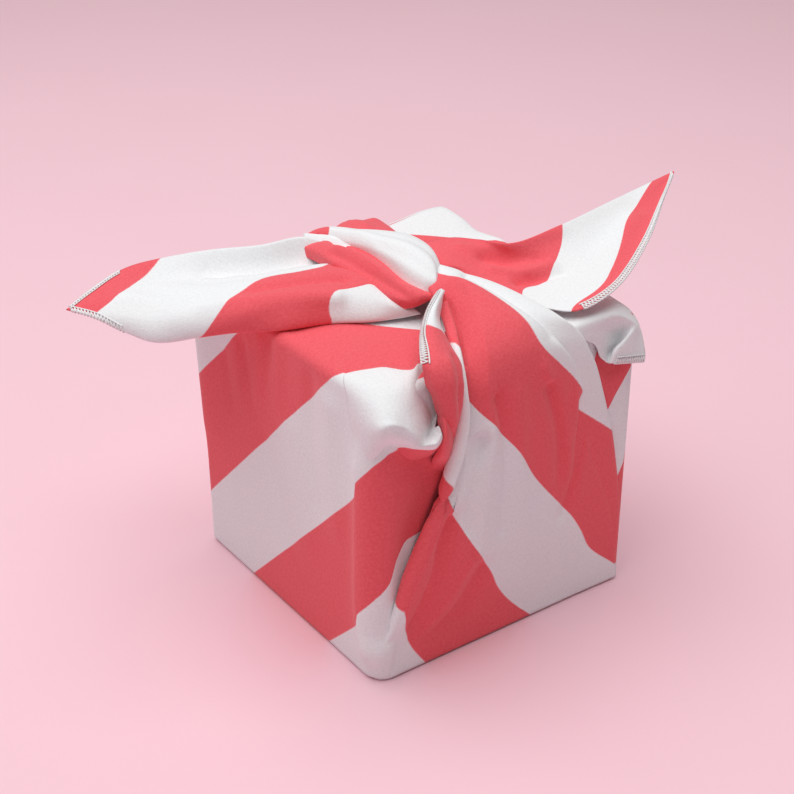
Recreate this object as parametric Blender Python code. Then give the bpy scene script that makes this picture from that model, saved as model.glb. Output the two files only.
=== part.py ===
"""A gift box wrapped in a furoshiki: one square cotton cloth, knotted on top.

The cloth lies at 45 degrees to the box.  Two of its corners are folded over the top and tucked
away, and the other two are brought up over the right-front and the left-back side and tied in one
knot, whose ends stand out to the left and right like ears.  The cloth is one solid with the box in
it, because it is one square that is only folded and tied.

Frame: millimetres in the tables, metres in the meshes.  The origin is at the middle of the
underside, Z is up, and the four sides face -X (A), -Y (B), +X (C) and +Y (D).
"""

import bmesh
import bpy
import numpy as np

MM = 0.001

# Driving sizes, in millimetres.
SIDE = 120.0  # the wrapped cube, from side to side and from floor to top
WALL = 2.7  # layers of cloth over each side of the box
CLEAR = 0.3  # between the cloth and the box
SHEET = 2.0  # one fold of cloth where it stands free
KNOT_SHEET = 3.0  # the doubled cloth of the knot's bands
WELD = 0.002  # points closer than this after the joins are one point
SHOULDER = 2.6  # how full a fold is: 2 is an arch, more is flat with rounded edges
BOTTOM_ROUND = 3.0  # edge radius of the cloth round the underside
TOP_ROUND = 4.5  # edge radius of the cloth round the top
CORNER_ROUND = 5.0  # upright edges of the wrapped box
BOX_ROUND = 1.2  # edges of the box itself

HALF = SIDE / 2
BOX_SIDE = SIDE - 2 * (WALL + CLEAR)
CAVITY_SIDE = SIDE - 2 * WALL

STEPS_A_SIDE = 12  # columns of the body along each flat side
STEPS_A_CORNER = 4  # columns round each upright edge
STEPS_AN_EDGE = 3  # turns of the body round its foot and its head
UNDER_INSETS = (56, 40, 20)  # turns of the body on the underside, by inset from the sides
SIDE_HEIGHTS = (14, 28, 42, 56, 70, 82, 92, 101, 108)  # turns up the sides
TOP_INSETS = (12, 22, 34, 46, 56)  # turns over the top

CLOTH_RED = (0.80, 0.12, 0.13, 1.0)
CARD_BROWN = (0.45, 0.30, 0.18, 1.0)

# Soft folds of the cloth on the body.  Each is a rounded swelling of the surface along its own
# normal: where its middle is, how far it reaches along x, y and z, and how far it stands out.
SWELLINGS = (
    # x,    y,    z,  reach_x, reach_y, reach_z, out
    (-61, -53, 58, 8, 6, 40, 3.4),  # loose cloth round the front upright edge
    (-50, -61, 108, 14, 10, 8, 4.4),  # top flap drooping over the front corner
    (-33, -60, 95, 9, 8, 8, 3.0),  # end of that droop, tucked behind the roll
    (-40, -60, 82, 10, 8, 6, -1.2),  # hollow under the droop
    (-50, -22, 121, 12, 26, 6, 1.4),  # crown of the top flap beside the left edge
    (-60, 24, 96, 6, 7, 30, 1.2),  # soft upright wrinkles high on the left side
    (-60, 42, 92, 6, 5, 26, 1.0),
    (50, 6, 121, 18, 34, 8, 1.8),  # crown of the far flap
    (-57, 57, 60, 8, 8, 44, 2.2),  # loose cloth round the other upright edges
    (57, 57, 60, 8, 8, 44, 2.2),
    (46, 60, 100, 12, 8, 12, 2.6),  # far flap drooping over the back corners
    (-46, 60, 100, 12, 8, 12, 2.6),
)

# Every free fold of cloth is a sheet carried through sections.  A row is one section: its left
# edge, its right edge, and how far its middle is crowned above the straight line between them.
ARM_FRONT = (
    # left x, y, z,   right x, y, z,  crown
    ((-56.0, -59.5, 3), (54.0, -59.5, 3), 0.0),
    ((-56.0, -60.5, 19), (53.5, -59.8, 17), 0.8),
    ((-52.5, -62.0, 40), (51.0, -60.4, 36), 1.6),
    ((-41.5, -63.5, 64), (47.0, -61.0, 58), 2.6),
    ((-32.0, -64.5, 82), (42.5, -61.6, 74), 3.2),
    ((-25.5, -64.5, 97), (38.0, -62.2, 88), 3.6),
    ((-22.5, -64.0, 111), (35.5, -62.6, 103), 3.8),
    ((-21.5, -61.5, 122), (31.0, -61.5, 116), 4.0),
    ((-17.0, -51.0, 127), (26.5, -55.0, 124), 4.0),
    ((-13.0, -41.0, 130), (22.0, -44.0, 128), 4.0),
    ((-10.0, -31.0, 132), (17.0, -29.0, 131), 3.6),
    ((-7.0, -22.0, 132), (12.0, -16.0, 132), 3.0),
    ((-5.0, -12.0, 132), (8.0, -4.0, 132), 1.5),
)
PLEAT_FRONT = (
    # left x, y, z,   right x, y, z,  crown
    ((20.0, -59.4, 3), (58.5, -59.4, 3), 0.0),
    ((20.0, -59.6, 22), (58.0, -59.6, 20), 0.4),
    ((18.0, -60.2, 44), (56.5, -60.2, 42), 0.8),
    ((14.0, -60.8, 66), (53.5, -60.6, 62), 1.2),
    ((12.0, -61.0, 86), (48.0, -61.0, 84), 1.6),
    ((10.0, -61.0, 106), (41.0, -61.0, 104), 1.8),
    ((8.0, -58.0, 119), (36.0, -59.0, 116), 2.0),
    ((6.0, -48.0, 125), (31.0, -51.0, 122), 2.0),
    ((5.0, -36.0, 128), (26.0, -38.0, 126), 2.0),
    ((3.0, -22.0, 130), (18.0, -22.0, 130), 1.5),
    ((1.0, -10.0, 131), (11.0, -8.0, 131), 1.0),
)
ARM_BACK = (
    # left x, y, z,   right x, y, z,  crown
    ((56.0, 59.5, 3), (-55.0, 59.5, 3), 0.0),
    ((56.0, 60.4, 22), (-55.0, 60.2, 22), 0.8),
    ((51.0, 61.6, 48), (-49.0, 61.0, 50), 1.8),
    ((41.0, 62.6, 76), (-39.0, 61.8, 80), 2.8),
    ((32.0, 63.0, 102), (-31.0, 62.4, 103), 3.6),
    ((27.0, 61.0, 118), (-27.0, 61.0, 117), 4.0),
    ((21.0, 50.0, 125), (-24.0, 52.0, 124), 4.0),
    ((15.0, 34.0, 129), (-20.0, 37.0, 129), 3.6),
    ((10.0, 15.0, 131), (-14.0, 20.0, 131), 3.0),
    ((7.0, 0.0, 132), (-8.0, 2.0, 132), 1.5),
)
PLEAT_BACK = (
    # left x, y, z,   right x, y, z,  crown
    ((-20.0, 59.4, 3), (-58.0, 59.4, 3), 0.0),
    ((-19.0, 60.0, 40), (-56.0, 60.0, 40), 0.8),
    ((-15.0, 60.8, 78), (-48.0, 60.6, 76), 1.4),
    ((-11.0, 61.0, 106), (-38.0, 61.0, 104), 1.8),
    ((-9.0, 57.0, 120), (-32.0, 58.0, 118), 2.0),
    ((-6.0, 42.0, 127), (-26.0, 44.0, 125), 2.0),
    ((-3.0, 22.0, 130), (-17.0, 24.0, 129), 1.5),
)
ROLL = (
    # left x, y, z,   right x, y, z,  crown
    ((-7.0, -22.0, 133), (-3.0, -25.0, 133), 1.0),
    ((-17.0, -33.0, 132), (-10.0, -38.0, 132), 3.0),
    ((-24.0, -40.0, 129), (-14.0, -48.0, 129), 4.5),
    ((-34.0, -52.0, 125), (-19.0, -60.0, 123), 6.0),
    ((-41.0, -61.0, 119), (-21.0, -65.0, 114), 6.5),
    ((-38.5, -62.0, 111), (-21.0, -65.0, 103), 6.0),
    ((-34.5, -61.0, 102), (-22.0, -64.0, 93), 5.0),
    ((-30.0, -59.5, 92), (-24.0, -61.0, 84), 2.0),
)
EAR_LEFT = (
    # back x, y, z,   front x, y, z,  crown
    ((-115.5, 53.5, 125), (-115.5, 52.0, 125), 0.0),
    ((-106.0, 56.0, 127), (-109.5, 43.0, 124), 1.0),
    ((-95.0, 57.0, 129), (-105.0, 31.0, 121), 3.5),
    ((-76.0, 58.0, 131), (-98.0, 20.0, 118), 7.0),
    ((-61.0, 54.0, 131), (-87.0, 13.0, 119), 8.0),
    ((-46.0, 48.0, 131), (-71.0, 6.0, 120), 8.0),
    ((-30.0, 44.0, 130), (-53.0, -4.0, 120), 8.0),
    ((-18.0, 36.0, 129), (-37.0, -12.0, 120), 7.0),
    ((-11.0, 22.0, 128), (-20.0, -17.0, 121), 5.0),
    ((-3.0, 4.0, 128), (-4.0, -14.0, 123), 2.0),
)
EAR_RIGHT = (
    # back x, y, z,   front x, y, z,  crown
    ((129.0, -3.5, 141), (129.0, -5.0, 141), 0.0),
    ((117.0, -3.0, 140), (100.0, -23.0, 135), 1.5),
    ((96.0, -4.0, 138), (71.0, -41.0, 129), 0.5),
    ((76.0, -6.0, 136), (50.0, -50.0, 124), -2.0),
    ((58.0, -6.0, 134), (38.0, -48.0, 122), -3.0),
    ((45.0, -3.0, 132), (31.0, -38.0, 123), -2.0),
    ((34.0, 5.0, 131), (24.0, -24.0, 126), 1.5),
    ((22.0, 10.0, 131), (16.0, -12.0, 129), 3.0),
    ((6.0, 8.0, 131), (6.0, -6.0, 130), 2.0),
)
KNOT_WRAP = (
    # back x, y, z,   front x, y, z,  crown
    ((-4.0, 56.0, 122), (-18.0, 51.0, 122), 1.5),
    ((-4.0, 48.0, 129), (-18.0, 42.0, 129), 2.5),
    ((-3.0, 38.0, 134), (-16.0, 30.0, 133), 4.0),
    ((1.0, 24.0, 137), (-15.0, 10.0, 134), 6.0),
    ((6.0, 8.0, 138), (-15.0, -12.0, 134), 7.0),
    ((8.0, -4.0, 137), (-14.0, -24.0, 133), 6.0),
    ((6.0, -13.0, 134), (-9.0, -27.0, 131), 4.0),
    ((4.0, -16.0, 129), (-5.0, -25.0, 127), 1.0),
)
KNOT_TWIST = (
    # back x, y, z,   front x, y, z,  crown
    ((-20.0, 42.0, 124), (-28.0, 36.0, 125), 1.0),
    ((-19.0, 36.0, 131), (-29.0, 29.0, 130), 2.5),
    ((-16.0, 26.0, 133), (-27.0, 18.0, 131), 4.0),
    ((-14.0, 10.0, 134), (-26.0, 4.0, 131), 5.0),
    ((-14.0, -6.0, 134), (-25.0, -9.0, 130), 5.0),
    ((-13.0, -20.0, 133), (-21.0, -21.0, 129), 4.0),
    ((-10.0, -28.0, 130), (-14.0, -28.0, 128), 1.5),
)
CORNER_LOOP = (
    # on top x, y, z,   hem x, y, z,  crown
    ((24.0, -36.0, 119), (22.0, -60.5, 109), 3.0),
    ((36.0, -34.0, 120), (38.0, -62.0, 104), 5.0),
    ((46.0, -36.0, 120), (50.0, -64.5, 101), 7.5),
    ((54.0, -40.0, 119), (58.0, -65.0, 101), 8.0),
    ((59.0, -47.0, 115), (63.5, -61.0, 103), 4.0),
    ((59.0, -54.0, 109), (62.0, -58.0, 105), 1.0),
)

# The gathered middle of the knot, between the two arms: middle and half sizes.
KNOT_MIDDLE = (-2.0, -4.0, 128.0)
KNOT_REACH = (16.0, 20.0, 10.0)

# The pocket under the folded right corner, where the cloth stays open down to the box.
POCKET_MIDDLE = (48.0, -59.5, 107.0)
POCKET_SIZE = (9.0, 6.0, 8.0)
POCKET_ROUND = 1.0


def clear_scene():
    """Start from an empty file."""
    for item in list(bpy.data.objects):
        bpy.data.objects.remove(item, do_unlink=True)


def cloth_material():
    """Plain-woven cotton, matt and red."""
    finish = bpy.data.materials.new("woven_cotton")
    finish.use_nodes = True
    shader = finish.node_tree.nodes["Principled BSDF"]
    shader.inputs["Base Color"].default_value = CLOTH_RED
    shader.inputs["Roughness"].default_value = 0.9
    shader.inputs["Metallic"].default_value = 0.0
    return finish


def card_material():
    """Uncoated brown box card."""
    finish = bpy.data.materials.new("box_card")
    finish.use_nodes = True
    shader = finish.node_tree.nodes["Principled BSDF"]
    shader.inputs["Base Color"].default_value = CARD_BROWN
    shader.inputs["Roughness"].default_value = 0.8
    shader.inputs["Metallic"].default_value = 0.0
    return finish


def add_mesh(name, points_mm, faces):
    """A mesh object from points in millimetres, with its faces turned outwards."""
    mesh = bpy.data.meshes.new(name)
    mesh.from_pydata((np.asarray(points_mm) * MM).tolist(), [], faces)
    shell = bmesh.new()
    shell.from_mesh(mesh)
    bmesh.ops.recalc_face_normals(shell, faces=shell.faces)
    if shell.calc_volume(signed=True) < 0:
        bmesh.ops.reverse_faces(shell, faces=shell.faces)
    shell.to_mesh(mesh)
    shell.free()
    item = bpy.data.objects.new(name, mesh)
    bpy.context.collection.objects.link(item)
    return item


def through(rows, places):
    """Points on the Catmull-Rom curve through the rows, at places from 0 to 1."""
    rows = np.asarray(rows, float)
    ends = np.concatenate([[2 * rows[0] - rows[1]], rows, [2 * rows[-1] - rows[-2]]])
    at = np.clip(np.asarray(places) * (len(rows) - 1), 0, len(rows) - 1 - 1e-9)
    step = at.astype(int)
    f = (at - step).reshape(-1, *[1] * (rows.ndim - 1))
    p0, p1, p2, p3 = (ends[step + k] for k in range(4))
    bend = (2 * p0 - 5 * p1 + 4 * p2 - p3) * f**2 + (3 * p1 - p0 - 3 * p2 + p3) * f**3
    return 0.5 * (2 * p1 + (p2 - p0) * f + bend)


def sheet_grid(table, along, across):
    """The middle surface of a sheet: straight from edge to edge, and crowned between them."""
    left, right = (np.array([row[k] for row in table], float) for k in (0, 1))
    crown = np.array([row[2] for row in table], float)
    places = np.linspace(0, 1, along)
    left, right, crown = (through(rows, places) for rows in (left, right, crown))
    middle = (left + right) / 2
    up = np.cross(np.gradient(middle, axis=0), right - left)
    up /= np.linalg.norm(up, axis=1)[:, None]
    up *= np.sign((up * (middle - np.array([0, 0, HALF]))).sum(1))[:, None]
    share = np.linspace(0, 1, across)
    rise = 1 - np.abs(2 * share - 1) ** SHOULDER
    flat = left[:, None] + (right - left)[:, None] * share[:, None]
    return flat + up[:, None] * (crown[:, None] * rise)[..., None]


def grid_normals(grid):
    """Unit normals of a grid of points."""
    normal = np.cross(np.gradient(grid, axis=0), np.gradient(grid, axis=1))
    return normal / np.maximum(np.linalg.norm(normal, axis=2), 1e-9)[..., None]


def thick_sheet(name, table, along=15, across=7, thickness=SHEET):
    """A closed sheet of cloth: the crowned surface, moved half its thickness to each side."""
    grid = sheet_grid(table, along, across)
    half = grid_normals(grid) * thickness / 2
    points = np.concatenate([(grid + half).reshape(-1, 3), (grid - half).reshape(-1, 3)])
    count = along * across
    number = np.arange(count).reshape(along, across)
    a, b = number[:-1, :-1].ravel(), number[:-1, 1:].ravel()
    c, d = number[1:, 1:].ravel(), number[1:, :-1].ravel()
    faces = list(zip(a, b, c, d)) + [(i + count, m + count, k + count, j + count) for i, j, k, m in zip(a, b, c, d)]
    rim = np.concatenate([number[0, :-1], number[:-1, -1], number[-1, :0:-1], number[:0:-1, 0]])
    faces += [(i, i + count, j + count, j) for i, j in zip(rim, np.roll(rim, -1))]
    return add_mesh(name, points, [tuple(int(i) for i in face) for face in faces])


def ring(inset):
    """One turn round the wrapped box: a square with round corners, inset from the side planes."""
    half = HALF - inset
    radius = min(CORNER_ROUND, half * 0.5)
    flat = half - radius
    points = []
    for turn in range(4):
        a = np.radians(90.0 * turn)
        spin = np.array([[np.cos(a), -np.sin(a)], [np.sin(a), np.cos(a)]])
        side = [(flat - 2 * flat * k / STEPS_A_SIDE, -half) for k in range(STEPS_A_SIDE + 1)][::-1]
        bend = [np.radians(-90 + 90 * k / STEPS_A_CORNER) for k in range(1, STEPS_A_CORNER)]
        side += [(flat + radius * np.cos(b), -flat + radius * np.sin(b)) for b in bend]
        points += [spin @ np.array(point) for point in side]
    return np.array(points)


def round_edge(radius, low):
    """(inset, height) along the quarter turn at the foot (low) or the head of the sides."""
    turns = np.radians(np.linspace(0, 90, STEPS_AN_EDGE + 1))
    if low:
        return [(radius * (1 - np.sin(a)), radius * (1 - np.cos(a))) for a in turns]
    return [(radius * (1 - np.cos(a)), SIDE - radius * (1 - np.sin(a))) for a in turns]


def body_grid():
    """Turns round the body from the underside up the sides and over the top, with its folds."""
    profile = [(inset, 0.0) for inset in UNDER_INSETS] + round_edge(BOTTOM_ROUND, True)
    profile += [(0.0, height) for height in SIDE_HEIGHTS]
    profile += round_edge(TOP_ROUND, False) + [(inset, SIDE) for inset in TOP_INSETS]
    points = np.array([[(*xy, z) for xy in ring(inset)] for inset, z in profile])
    normal = grid_normals(np.concatenate([points[:, -1:], points, points[:, :1]], axis=1))[:, 1:-1]
    normal *= np.sign((normal * (points - np.array([0, 0, HALF]))).sum(2))[..., None]
    out = np.zeros(points.shape[:2])
    for x, y, z, reach_x, reach_y, reach_z, height in SWELLINGS:
        away = (points - (x, y, z)) / (reach_x, reach_y, reach_z)
        out += height * np.exp(-(away**2).sum(2))
    out[points[..., 2] < BOTTOM_ROUND] = 0
    return points + normal * out[..., None]


def cloth_body():
    """The cloth round the box, still a filled form: the box is cut out of it later."""
    grid = body_grid()
    rows, columns = grid.shape[:2]
    number = np.arange(rows * columns).reshape(rows, columns)
    beside = np.roll(number, -1, axis=1)
    a, b, c, d = number[:-1].ravel(), beside[:-1].ravel(), beside[1:].ravel(), number[1:].ravel()
    faces = [tuple(int(i) for i in face) for face in zip(a, b, c, d)]
    faces += [tuple(int(i) for i in number[0][::-1]), tuple(int(i) for i in number[-1])]
    return add_mesh("cloth", grid.reshape(-1, 3), faces)


def rounded_block(name, middle, size, radius):
    """A block with bevelled edges, for the box and for what is cut away."""
    bpy.ops.mesh.primitive_cube_add(size=1.0)
    item = bpy.context.active_object
    item.name = name
    for vertex in item.data.vertices:
        vertex.co = [(m + s * c) * MM for m, s, c in zip(middle, size, vertex.co)]
    edges = item.modifiers.new("edges", "BEVEL")
    edges.width = radius * MM
    edges.segments = 2
    return item


def knot_middle():
    """The gathered cloth inside the knot, as a flattened ball."""
    bpy.ops.mesh.primitive_uv_sphere_add(segments=20, ring_count=12, radius=1.0)
    item = bpy.context.active_object
    item.name = "knot_middle"
    for vertex in item.data.vertices:
        vertex.co = [(m + r * c) * MM for m, r, c in zip(KNOT_MIDDLE, KNOT_REACH, vertex.co)]
    return item


def combine(item, other, how):
    """Join another form to an item, or cut it away, with a Boolean, and drop that form."""
    step = item.modifiers.new(how.lower(), "BOOLEAN")
    step.operation = how
    step.solver = "EXACT"
    step.object = other
    depsgraph = bpy.context.evaluated_depsgraph_get()
    mesh = bpy.data.meshes.new_from_object(item.evaluated_get(depsgraph))
    item.modifiers.clear()
    item.data = mesh
    bpy.data.objects.remove(other, do_unlink=True)


def keep_outer_shell(item):
    """Fill the small air pockets between the folds: only the largest shell stays."""
    shell = bmesh.new()
    shell.from_mesh(item.data)
    bmesh.ops.remove_doubles(shell, verts=shell.verts, dist=WELD * MM)
    bmesh.ops.dissolve_degenerate(shell, edges=shell.edges, dist=WELD * MM)
    left = set(shell.verts)
    groups = []
    while left:
        todo = [left.pop()]
        group = set(todo)
        while todo:
            for edge in todo.pop().link_edges:
                for vertex in edge.verts:
                    if vertex in left:
                        left.remove(vertex)
                        group.add(vertex)
                        todo.append(vertex)
        groups.append(group)
    groups.sort(key=len)
    for group in groups[:-1]:
        bmesh.ops.delete(shell, geom=list(group), context="VERTS")
    bmesh.ops.triangulate(shell, faces=shell.faces)
    shell.to_mesh(item.data)
    shell.free()


def build_cloth():
    """The whole cloth: the body, the two arms, the roll, the knot and its two ears."""
    cloth = cloth_body()
    sheets = [
        knot_middle(),
        thick_sheet("arm_front", ARM_FRONT, along=22, across=9),
        thick_sheet("pleat_front", PLEAT_FRONT, along=18, across=7),
        thick_sheet("arm_back", ARM_BACK, along=18, across=9),
        thick_sheet("pleat_back", PLEAT_BACK, along=14, across=7),
        thick_sheet("roll", ROLL, along=13, across=6),
        thick_sheet("ear_left", EAR_LEFT, along=17, across=8),
        thick_sheet("ear_right", EAR_RIGHT, along=16, across=8),
        thick_sheet("knot_wrap", KNOT_WRAP, along=13, across=8, thickness=KNOT_SHEET),
        thick_sheet("knot_twist", KNOT_TWIST, along=13, across=6, thickness=KNOT_SHEET),
        thick_sheet("corner_loop", CORNER_LOOP, along=11, across=7),
    ]
    for sheet in sheets:
        combine(cloth, sheet, "UNION")
    cavity = [CAVITY_SIDE] * 3
    combine(cloth, rounded_block("cavity", (0, 0, HALF), cavity, BOX_ROUND), "DIFFERENCE")
    combine(cloth, rounded_block("pocket", POCKET_MIDDLE, POCKET_SIZE, POCKET_ROUND), "DIFFERENCE")
    keep_outer_shell(cloth)
    cloth.data.materials.clear()
    cloth.data.materials.append(cloth_material())
    return cloth


def build_box():
    """The plain card box that the cloth is folded round."""
    box = rounded_block("box", (0, 0, HALF), [BOX_SIDE] * 3, BOX_ROUND)
    box.data.materials.append(card_material())
    return box


clear_scene()
build_cloth()
build_box()
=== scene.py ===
import bpy
import numpy as np
from mathutils import Euler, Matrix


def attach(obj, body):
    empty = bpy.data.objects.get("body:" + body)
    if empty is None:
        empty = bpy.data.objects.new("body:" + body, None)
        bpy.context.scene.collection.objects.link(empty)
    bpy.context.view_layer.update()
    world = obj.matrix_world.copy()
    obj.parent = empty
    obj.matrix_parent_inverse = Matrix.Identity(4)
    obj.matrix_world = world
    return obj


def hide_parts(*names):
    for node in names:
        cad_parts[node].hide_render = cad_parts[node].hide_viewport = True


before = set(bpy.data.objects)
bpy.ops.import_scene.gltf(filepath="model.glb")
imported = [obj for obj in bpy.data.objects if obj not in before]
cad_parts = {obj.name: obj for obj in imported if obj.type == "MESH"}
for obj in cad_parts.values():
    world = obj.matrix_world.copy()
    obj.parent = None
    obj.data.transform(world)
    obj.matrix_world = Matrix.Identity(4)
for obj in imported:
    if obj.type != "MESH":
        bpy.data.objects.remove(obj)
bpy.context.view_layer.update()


# ---- Studio and camera -------------------------------------------------------------------------
# A pale pink paper floor that fills the view, under one wide soft box and a little even light from
# all round, as a small product table is lit.  The camera is a short telephoto, looking down at 29°.


def linear(hex_colour):
    """An sRGB hex colour as linear red, green and blue, with an alpha of 1."""
    parts = [int(hex_colour[k : k + 2], 16) / 255 for k in (1, 3, 5)]
    curve = [c / 12.92 if c <= 0.04045 else ((c + 0.055) / 1.055) ** 2.4 for c in parts]
    return (*curve, 1.0)


def connect(tree, item, links):
    """Give a node's inputs what they take; links are (input, socket or value)."""
    for name, value in links:
        if isinstance(value, bpy.types.NodeSocket):
            tree.links.new(value, item.inputs[name])
        else:
            item.inputs[name].default_value = value


def node(tree, kind, links=(), **settings):
    """Add a node of one kind, with its settings and its inputs."""
    item = tree.nodes.new(kind)
    for name, value in settings.items():
        setattr(item, name, value)
    connect(tree, item, links)
    return item


def new_material(name):
    """An empty node material with its Principled shader."""
    finish = bpy.data.materials.new(name)
    finish.use_nodes = True
    return finish, finish.node_tree, finish.node_tree.nodes["Principled BSDF"]


def mottle(tree, source, often, detail=2.0):
    """A noise over a source of places in metres, so often to the metre along each axis."""
    scaled = node(tree, "ShaderNodeMapping", [("Vector", source), ("Scale", often)])
    links = [("Vector", scaled.outputs[0]), ("Scale", 1.0), ("Detail", detail)]
    return node(tree, "ShaderNodeTexNoise", links).outputs["Fac"]


def tint(tree, low, high, amount):
    """The colour an amount of the way between two, each a linear colour or a socket."""
    links = [("Factor", amount), (6, low), (7, high)]
    return node(tree, "ShaderNodeMix", links, data_type="RGBA").outputs[2]


def add_piece(name, points, faces, finish):
    """A mesh object at the origin from points in metres, shaded smooth."""
    mesh = bpy.data.meshes.new(name)
    mesh.from_pydata(points.tolist(), [], faces)
    mesh.shade_smooth()
    mesh.materials.append(finish)
    item = bpy.data.objects.new(name, mesh)
    bpy.context.collection.objects.link(item)
    return item


# Sized paper, matt: a faint mottle of the pulp keeps the floor from looking like plastic.
paper, tree, shader = new_material("sized_background_paper_matt")
pulp = mottle(tree, node(tree, "ShaderNodeTexCoord").outputs["Object"], (9, 9, 9))
links = [
    ("Base Color", tint(tree, linear("#F8CDD8"), linear("#FAD1DC"), pulp)),
    ("Roughness", 0.95),
    ("Specular IOR Level", 0.2),
]
connect(tree, shader, links)

FLOOR_HALF = 6.0  # from its middle to an edge, far outside the view
floor = add_piece(
    "paper_floor",
    FLOOR_HALF * np.array([(-1, -1, 0), (1, -1, 0), (1, 1, 0), (-1, 1, 0)]),
    [(0, 1, 2, 3)],
    paper,
)

world = bpy.data.worlds.new("studio_air")
world.use_nodes = True
background = world.node_tree.nodes["Background"]
connect(world.node_tree, background, [("Color", linear("#FFFFFF")), ("Strength", 0.27)])
bpy.context.scene.world = world
bpy.context.scene.view_settings.view_transform = "Standard"


def stand(name, data, place, turn):
    """An object at a place in metres, turned by Euler angles in degrees."""
    item = bpy.data.objects.new(name, data)
    item.location = place
    item.rotation_euler = Euler(np.radians(turn))
    bpy.context.collection.objects.link(item)
    return item


lamp = bpy.data.lights.new("top_soft_box", "AREA")
lamp.shape = "SQUARE"
lamp.size = 1.6
lamp.energy = 20.5
lamp.color = linear("#FFFFFF")[:3]
stand("top_soft_box", lamp, (-0.2, 0.1, 1.4), (9.5, 0, -116.6))

lens = bpy.data.cameras.new("camera")
lens.lens = 72.32
lens.sensor_width = 36.0
bpy.context.scene.camera = stand("camera", lens, (-0.3228, -0.4392, 0.3772), (61.03, 0, -35.69))


# ---- The cloth and its print -------------------------------------------------------------------
# One 0.70 m square of crepe-woven cotton, printed in red and white stripes that run with one pair
# of its edges.  Two maps follow its folds: flat_cloth, with U across the stripes from the cloth's
# middle, places the print, and weave, with true lengths over each fold, places the grain.

MM = 0.001  # sizes below are in mm, and become metres where a mesh, a map or a shader takes them
STRIPE = 39.0  # width of one stripe
FIRST_STRIPE = 16.0  # from the cloth's middle to the first white-to-red edge
PLY = 0.45  # thickness of the cloth
V_START = 20.0  # V of the flat map on the first row of each fold


def cotton_material():
    """Crepe-woven cotton: matt, a soft bloom at the edges, and a pebbled grain of twisted yarns.

    The yarns are 0.3 mm apart, too fine to show here, so the grain is drawn at about 0.7 mm.
    """
    finish, tree, shader = new_material("crepe_cotton_woven_and_printed")
    flat = node(tree, "ShaderNodeUVMap", uv_map="flat_cloth")
    weave = node(tree, "ShaderNodeUVMap", uv_map="weave").outputs["UV"]
    part = node(tree, "ShaderNodeSeparateXYZ", [("Vector", flat.outputs["UV"])])

    def maths(operation, a, b=0.0, c=0.0):
        return node(tree, "ShaderNodeMath", [(0, a), (1, b), (2, c)], operation=operation).outputs[0]

    # Grain: two noises stretched along the warp and the weft, about 0.7 mm and 1.6 mm long.
    warp = mottle(tree, weave, (1500, 620, 1))
    weft = mottle(tree, weave, (700, 1700, 1))
    grain = maths("ADD", warp, weft)

    # Print: red within a quarter of a stripe pair from the middle of each red stripe.  Ink creeps
    # along the yarns, so the edge wavers by about 0.2 mm, and it is soft over 0.5 mm.
    creep = maths("MULTIPLY_ADD", weft, 0.0004, -0.0002)
    across = maths("ADD", part.outputs["X"], creep)
    pairs = maths("MULTIPLY_ADD", across, 1 / (2 * STRIPE * MM), -FIRST_STRIPE / (2 * STRIPE))
    from_middle = maths("ABSOLUTE", maths("SUBTRACT", maths("FRACT", pairs), 0.25))
    beyond = maths("MINIMUM", from_middle, maths("SUBTRACT", 1.0, from_middle))
    edge = maths("MULTIPLY_ADD", maths("SUBTRACT", 0.25, beyond), 2 * STRIPE / 0.5, 0.5)
    red_share = node(tree, "ShaderNodeClamp", [("Value", edge)]).outputs[0]

    # Colour: each a little paler where a yarn stands up.
    speck = maths("MULTIPLY_ADD", grain, 1.6, -1.1)
    speck = node(tree, "ShaderNodeClamp", [("Value", speck)]).outputs[0]
    white = tint(tree, linear("#E9E9EB"), linear("#F3F4F5"), speck)
    red = tint(tree, linear("#E9555F"), linear("#F4666F"), speck)

    bump = node(tree, "ShaderNodeBump", [("Height", grain), ("Strength", 0.35), ("Distance", 0.0003)])
    links = [
        ("Base Color", tint(tree, white, red, red_share)),
        ("Normal", bump.outputs[0]),
        ("Roughness", 0.88),
        ("Specular IOR Level", 0.25),
        ("Sheen Weight", 0.15),
        ("Sheen Roughness", 0.5),
    ]
    connect(tree, shader, links)
    return finish


cotton = cotton_material()
plies = []  # every part of the cloth: points, flat map and weave map in mm, faces


def through(rows, places):
    """Points on the Catmull-Rom curve through the rows, at places from 0 to 1."""
    rows = np.asarray(rows, float)
    ends = np.concatenate([[2 * rows[0] - rows[1]], rows, [2 * rows[-1] - rows[-2]]])
    at = np.clip(np.asarray(places) * (len(rows) - 1), 0, len(rows) - 1 - 1e-9)
    step = at.astype(int)
    f = (at - step).reshape(-1, *[1] * (rows.ndim - 1))
    p0, p1, p2, p3 = (ends[step + k] for k in range(4))
    bend = (2 * p0 - 5 * p1 + 4 * p2 - p3) * f**2 + (3 * p1 - p0 - 3 * p2 + p3) * f**3
    return 0.5 * (2 * p1 + (p2 - p0) * f + bend)


def grid_normals(grid):
    """Unit normals of a grid of points: the cross product of its two directions."""
    normal = np.cross(np.gradient(grid, axis=0), np.gradient(grid, axis=1))
    return normal / np.maximum(np.linalg.norm(normal, axis=2), 1e-9)[..., None]


def outward_normals(grid, centre=(0, 0, 60)):
    """The normals of a grid, turned so that the one in its middle points away from a centre."""
    normal = grid_normals(grid)
    i, j = (size // 2 for size in grid.shape[:2])
    return normal * np.sign(normal[i, j] @ (grid[i, j] - centre) + 1e-9)


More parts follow.
